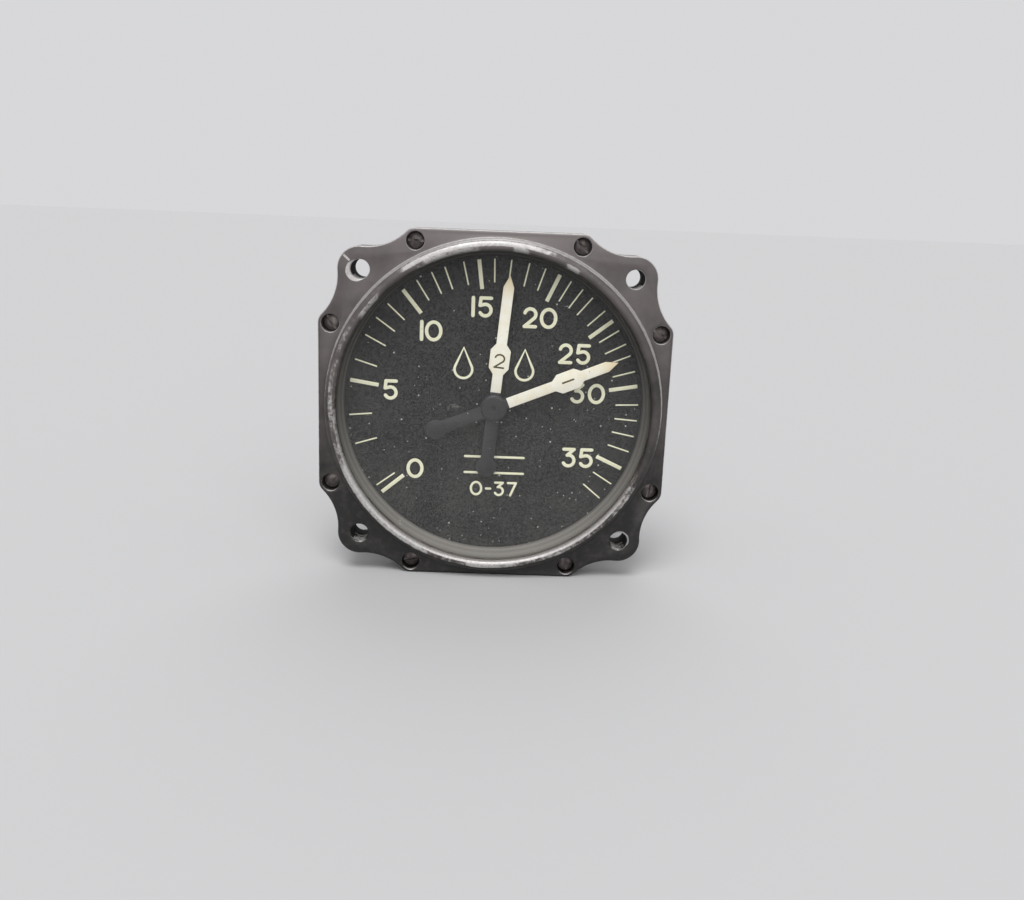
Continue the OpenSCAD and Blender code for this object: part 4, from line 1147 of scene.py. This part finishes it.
def make_case():
    """Case casting: lobed flange, shallow bowl and motor can, with four lugs for the cover's screws."""
    case = plate("case_casting", flange_outline(), CASE_FRONT, CASE_FLANGE_BACK)
    bevel_rim(case, CASE_FLANGE_BACK, 0.4, 4)
    bevel_rim(case, CASE_FRONT, 0.15, 2)
    foot, bend = 0.9, 2.0
    outside = [
        (BOWL_R + foot, CASE_FLANGE_BACK - 1),
        *arc((BOWL_R + foot, CASE_FLANGE_BACK + foot), foot, 270, 180, 6),
        *arc((BOWL_R - bend, SHOULDER - bend), bend, 0, 90, 8),
        *arc((CAN_R + 1.3, SHOULDER + 1.3), 1.3, 270, 180, 6),
        *arc((CAN_R - 0.3, CASE_BACK - 0.3), 0.3, 0, 90, 3),
    ]
    boolean(case, turned("bowl", outside), "UNION")
    lug = rounded_post(LUG_R, CASE_BACK - LUG_LEN, CASE_BACK, 0.25, round_front=True)
    boolean(case, placed_copies("lugs", lug, [shift(x, z) for x, z in at_lugs()]), "UNION")
    inside = [
        (BORE_R, CASE_FRONT - 1), (BORE_R, DIAL_BACK), (BOWL_IN_R, DIAL_BACK), (BOWL_IN_R, BOWL_FLOOR),
        (CAN_IN_R, BOWL_FLOOR), (CAN_IN_R, CASE_BACK + 1),
    ]
    boolean(case, turned("inside", inside))
    mount = turned("cutter", [(MOUNT_HOLE_R, 0), (MOUNT_HOLE_R, 20)], segments=48)
    boolean(case, placed_copies("cutter", mount, [shift(x, z) for x, z in MOUNT_HOLES]))
    thread = turned("cutter", [(1.12, CASE_FRONT - 1), (1.12, CASE_FLANGE_BACK - 0.5)], segments=24)
    boolean(case, placed_copies("cutter", thread, [shift(x, z) for x, z in CASE_SCREWS]))
    small = turned("cutter", [(1.12, CASE_BACK - LUG_LEN + 1), (1.12, CASE_BACK + 1)], segments=24)
    boolean(case, placed_copies("cutter", small, [shift(x, z) for x, z in at_lugs()]))
    plate_hole = turned("cutter", [(1.12, BOWL_FLOOR - 1), (1.12, SHOULDER - 0.4)], segments=24)
    boolean(case, placed_copies("cutter", plate_hole, [clock(a, PLATE_SCREW_R) for a in (60, 180, 300)]))
    close_up(case)
    smooth(case)
    return case


SPIGOT_R = 10.3
SQUARE_FRONT = COVER_BACK + 0.5
SQUARE_BACK = SQUARE_FRONT + 1.9
SQUARE_HOLES = four_turns((SQUARE_HALF - 3.6, SQUARE_HALF - 3.6))
BARREL_R = 11.1
BARREL_IN_R = 9.6
INSERT_FRONT = low("connector_insert").y
INSERT_BACK = high("connector_insert").y
PIN_ANGLES = (30, 90, 150, 210, 270, 330)
PIN_CIRCLE_R = 4.5


def make_rear_cover():
    """Flat cover with a lug at each screw and a bore for the connector."""
    edge = 0.5
    disc = [
        (CAN_R - 0.15, COVER_FRONT), (CAN_R, COVER_FRONT + 0.15),
        *arc((CAN_R - edge, COVER_BACK - edge), edge, 0, 90, 5),
    ]
    cover = turned("rear_lid", disc)
    lug = rounded_post(LUG_R, COVER_FRONT, COVER_BACK, edge)
    boolean(cover, placed_copies("lugs", lug, [shift(x, z) for x, z in at_lugs()]), "UNION")
    bore = [(SPIGOT_R + 0.15, COVER_FRONT - 1), (SPIGOT_R + 0.15, COVER_BACK + 1)]
    boolean(cover, turned("cutter", bore, segments=96))
    hole = turned("cutter", [(1.25, COVER_FRONT - 1), (1.25, COVER_BACK + 1)], segments=32)
    boolean(cover, placed_copies("cutter", hole, [shift(x, z) for x, z in at_lugs()]))
    square_hole = turned("cutter", [(1.42, COVER_FRONT - 1), (1.42, COVER_BACK + 1)], segments=32)
    boolean(cover, placed_copies("cutter", square_hole, [shift(x, z) for x, z in SQUARE_HOLES]))
    close_up(cover)
    smooth(cover)
    return cover


def cut_thread(barrel, first, last, pitch, height):
    """Draws the barrel's outer wall in along a helix, between two depths."""
    for vertex in barrel.data.vertices:
        x, depth, z = vertex.co / MM
        radius = hypot(x, z)
        if radius < BARREL_R - 0.05 or not first < depth < last:
            continue
        fade = min(1, (depth - first) / pitch, (last - depth) / pitch)
        phase = 2 * pi * depth / pitch - atan2(x, z)
        growth = 1 - height * fade * (0.5 - 0.5 * cos(phase)) / radius
        vertex.co.x *= growth
        vertex.co.z *= growth


def make_connector_shell():
    """Receptacle: square flange with rounded corners, spigot, threaded barrel and a key at 12 o'clock."""
    corner = 3.0
    reach = SQUARE_HALF - corner
    outline = [p for side, start in enumerate((90, 0, -90, -180))
               for p in arc(four_turns((reach, reach))[side], corner, start, start - 90, 8)]
    shell = plate("connector_body", outline, SQUARE_FRONT, SQUARE_BACK)
    bevel_rim(shell, SQUARE_BACK, 0.3, 3)
    pitch = 1.27
    thread_from, thread_to = SQUARE_BACK + 1.5, BARREL_BACK - 0.6
    rows = ceil((thread_to - thread_from) / (pitch / 8))
    wall = [thread_from + (thread_to - thread_from) * i / rows for i in range(rows + 1)]
    outside = [
        (SPIGOT_R - 0.2, low("connector_shell").y), (SPIGOT_R, low("connector_shell").y + 0.2),
        (SPIGOT_R, SQUARE_FRONT + 0.5), (BARREL_R, SQUARE_FRONT + 0.5), *[(BARREL_R, depth) for depth in wall],
        (BARREL_R, BARREL_BACK - 0.5), (BARREL_R - 0.5, BARREL_BACK),
    ]
    barrel = turned("barrel", outside, segments=96)
    cut_thread(barrel, thread_from, thread_to, pitch, 0.6)
    boolean(shell, barrel, "UNION")
    inside = [
        (BARREL_IN_R - 0.6, SQUARE_FRONT - 4), (BARREL_IN_R - 0.6, INSERT_FRONT), (BARREL_IN_R, INSERT_FRONT),
        (BARREL_IN_R, BARREL_BACK - 0.4), (BARREL_IN_R + 1.4, BARREL_BACK + 1),
    ]
    boolean(shell, turned("cutter", inside, segments=96))
    key_back, key_front = BARREL_BACK - 1, INSERT_BACK + 0.3
    bpy.ops.mesh.primitive_cube_add(
        size=1, location=(0, (key_back + key_front) / 2 * MM, (BARREL_IN_R - 0.35) * MM))
    key = bpy.context.object
    key.scale = (1.6 * MM, (key_back - key_front) * MM, 1.3 * MM)
    apply_place(key)
    bevel_rim(key, key_back, 0.25, 2)
    boolean(shell, key, "UNION")
    hole = turned("cutter", [(1.5, SQUARE_FRONT - 1), (1.5, SQUARE_BACK + 1)], segments=32)
    boolean(shell, placed_copies("cutter", hole, [shift(x, z) for x, z in SQUARE_HOLES]))
    close_up(shell)
    smooth(shell)
    return shell


def make_insert():
    """Moulded insert with a countersunk hole for each contact."""
    edge = 0.3
    insert_r = BARREL_IN_R - 0.05
    section = [(insert_r, INSERT_FRONT), *arc((insert_r - edge, INSERT_BACK - edge), edge, 0, 90, 4)]
    insert = turned("insert_body", section, segments=96)
    sink = 0.35
    hole = [(0.82, INSERT_FRONT - 1), (0.82, INSERT_BACK - sink), (0.82 + sink, INSERT_BACK), (1.2, INSERT_BACK + 1)]
    holes = placed_copies("cutter", turned("cutter", hole, segments=32), [clock(a, PIN_CIRCLE_R) for a in PIN_ANGLES])
    boolean(insert, holes)
    close_up(insert)
    smooth(insert)
    return insert


# The pieces, from the front to the back

finish_piece(make_bezel(), paint_on_bezel, "case", "black_painted_casting", "bezel")
finish_piece(make_glass(), glass, "case", "cover_glass", "cover_glass")
finish_piece(make_spacer_ring(), ring_grey, "case", "grey_ring", "spacer_ring")
finish_piece(make_dial(), dial_black, "case", "dial_black", "dial_plate")
for markings in (make_scale_marks(), make_scale_numbers(), make_oil_drops(), make_range_figures()):
    finish_piece(markings, scale_paint, "case", "luminous_paint")
for number in (1, 2):
    body = f"pointer_{number}_rotor"
    finish_piece(make_blade(number), pointer_black, body, "dial_black", f"pointer_{number}_blade")
    finish_piece(make_hub(number), pointer_black, body, "dial_black", f"pointer_{number}_hub")
    finish_piece(make_pointer_paint(number), pointer_paint, body, "luminous_paint")
    finish_piece(make_pointer_figure(number), figure_paint, body, "dial_black")

case_screw = slotted_screw("case_screw", 1.85, 1.6, 1.1, CASE_FLANGE_BACK - 0.8 - COUNTERBORE_DEPTH)
case_screws = screws_at(
    "flange_screws", case_screw, CASE_SCREWS, COUNTERBORE_DEPTH, slot_angles=CASE_SCREW_SLOTS)
finish_piece(case_screws, screw_steel, "case", "blackened_steel", "case_screws")
finish_piece(make_case(), paint_on_case, "case", "black_painted_casting", "case_body")
finish_piece(make_rear_cover(), paint_on_case, "case", "black_painted_casting", "rear_cover")
cover_screw = slotted_screw("cover_screw", 2.0, 1.5, SMALL_SCREW_R, 7.2)
cover_screws = screws_at("lid_screws", cover_screw, at_lugs(), COVER_BACK, backwards=True)
finish_piece(cover_screws, screw_steel, "case", "blackened_steel", "cover_screws")
finish_piece(make_connector_shell(), plated_aluminium, "case", "plated_aluminium", "connector_shell")
finish_piece(make_insert(), phenolic, "case", "black_phenolic", "connector_insert")
square_screw = slotted_screw("square_screw", 2.6, 1.6, 1.4, SQUARE_BACK - COVER_FRONT - 0.1)
square_screws = screws_at("socket_screws", square_screw, SQUARE_HOLES, SQUARE_BACK, backwards=True)
finish_piece(square_screws, screw_steel, "case", "blackened_steel", "connector_screws")

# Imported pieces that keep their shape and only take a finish
KEPT = {
    cork: ("glass_gasket", "flange_gasket", "cover_gasket"),
    rubber: ("connector_gasket",),
    brass: (
        "front_plate", "mid_plate", "rear_plate", "front_bush", "mid_bush", "rear_bush", "spacer_sleeves",
        "front_rotor_hub", "rear_rotor_hub", "front_balance_sector", "rear_balance_sector", "connector_pins",
    ),
    shaft_steel: ("long_shaft",),
    bright_steel: (
        "plate_screws", "tie_screws", "front_stop_pin", "rear_stop_pin", "hollow_shaft", "magnetic_shield",
    ),
    lamination_iron: ("front_stator_core", "rear_stator_core"),
    copper_wire: ("front_stator_coils", "rear_stator_coils"),
    damper_copper: ("front_damping_cup", "rear_damping_cup"),
    magnet_metal: ("front_rotor_magnet", "rear_rotor_magnet"),
    lead_sleeve: ("lead_wires",),
}
for finish, nodes in KEPT.items():
    for node in nodes:
        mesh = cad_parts[node].data
        mesh.materials.clear()
        mesh.materials.append(finish)


# Stage


def background_seen(tree):
    """1 for what the camera sees, straight or in metal and glass, and 0 for light on the object."""
    rays = add_node(tree, "LightPath", out="Is Camera Ray").node.outputs
    seen = rays["Is Camera Ray"]
    for ray in ("Is Glossy Ray", "Is Transmission Ray"):
        seen = add_node(tree, "Math", {0: seen, 1: rays[ray]}, operation="MAXIMUM")
    return seen


def make_floor():
    """Wide matt floor: pale where it is seen, and mid-grey for the light that it throws back."""
    deselect_all()
    bpy.ops.mesh.primitive_plane_add(size=20, location=(0, 0, low("bezel").z * MM))
    floor = bpy.context.object
    floor.name = "floor"
    material, tree, shader = new_material("pale_matt_floor", {"Roughness": 0.9, "Specular IOR Level": 0.0})
    seen = background_seen(tree)
    shade = add_node(tree, "Mix", {0: seen, 6: colour("#8a8a8a"), 7: colour(FLOOR_SHADE)}, out=2, data_type="RGBA")
    tree.links.new(shade, shader.inputs["Base Color"])
    floor.data.materials.append(material)


def make_camera():
    camera = bpy.data.cameras.new("camera")
    camera.lens = 34.089
    camera.sensor_width = 36
    camera.sensor_fit = "HORIZONTAL"
    camera.clip_start = 0.01
    holder = bpy.data.objects.new("camera", camera)
    bpy.context.scene.collection.objects.link(holder)
    holder.location = (-0.095 * MM, -223.787 * MM, 44.406 * MM)
    holder.rotation_euler = (radians(76.44), radians(-2.229), radians(-0.694))
    bpy.context.scene.camera = holder


def add_soft_light(name, azimuth, elevation, spread, strength):
    """Even light from one side, like a large softbox: azimuth 0 is in front, and the spread is in degrees."""
    lamp = bpy.data.lights.new(name, "SUN")
    lamp.angle = radians(spread)
    lamp.energy = strength
    holder = bpy.data.objects.new(name, lamp)
    bpy.context.scene.collection.objects.link(holder)
    a, e = radians(azimuth), radians(elevation)
    holder.rotation_euler = Vector((sin(a) * cos(e), -cos(a) * cos(e), sin(e))).to_track_quat("Z", "Y").to_euler()


def make_world():
    """Soft even light, and a pale backdrop for the camera and for what metal and glass show."""
    world = bpy.data.worlds.new("studio")
    world.use_nodes = True
    tree = world.node_tree
    background = tree.nodes["Background"]
    strength = add_node(tree, "MapRange", {0: background_seen(tree), 3: 0.42, 4: 0.8})
    background.inputs["Color"].default_value = colour("#eeeef0")
    tree.links.new(strength, background.inputs["Strength"])
    bpy.context.scene.world = world


FLOOR_SHADE = "#c9c9ca"
make_floor()
make_camera()
add_soft_light("overhead light", -12, 62, 30, 1.45)
add_soft_light("front fill", 5, 28, 60, 1.24)
add_soft_light("back fill", 175, 50, 50, 0.7)
make_world()
bpy.context.scene.view_settings.view_transform = "Standard"
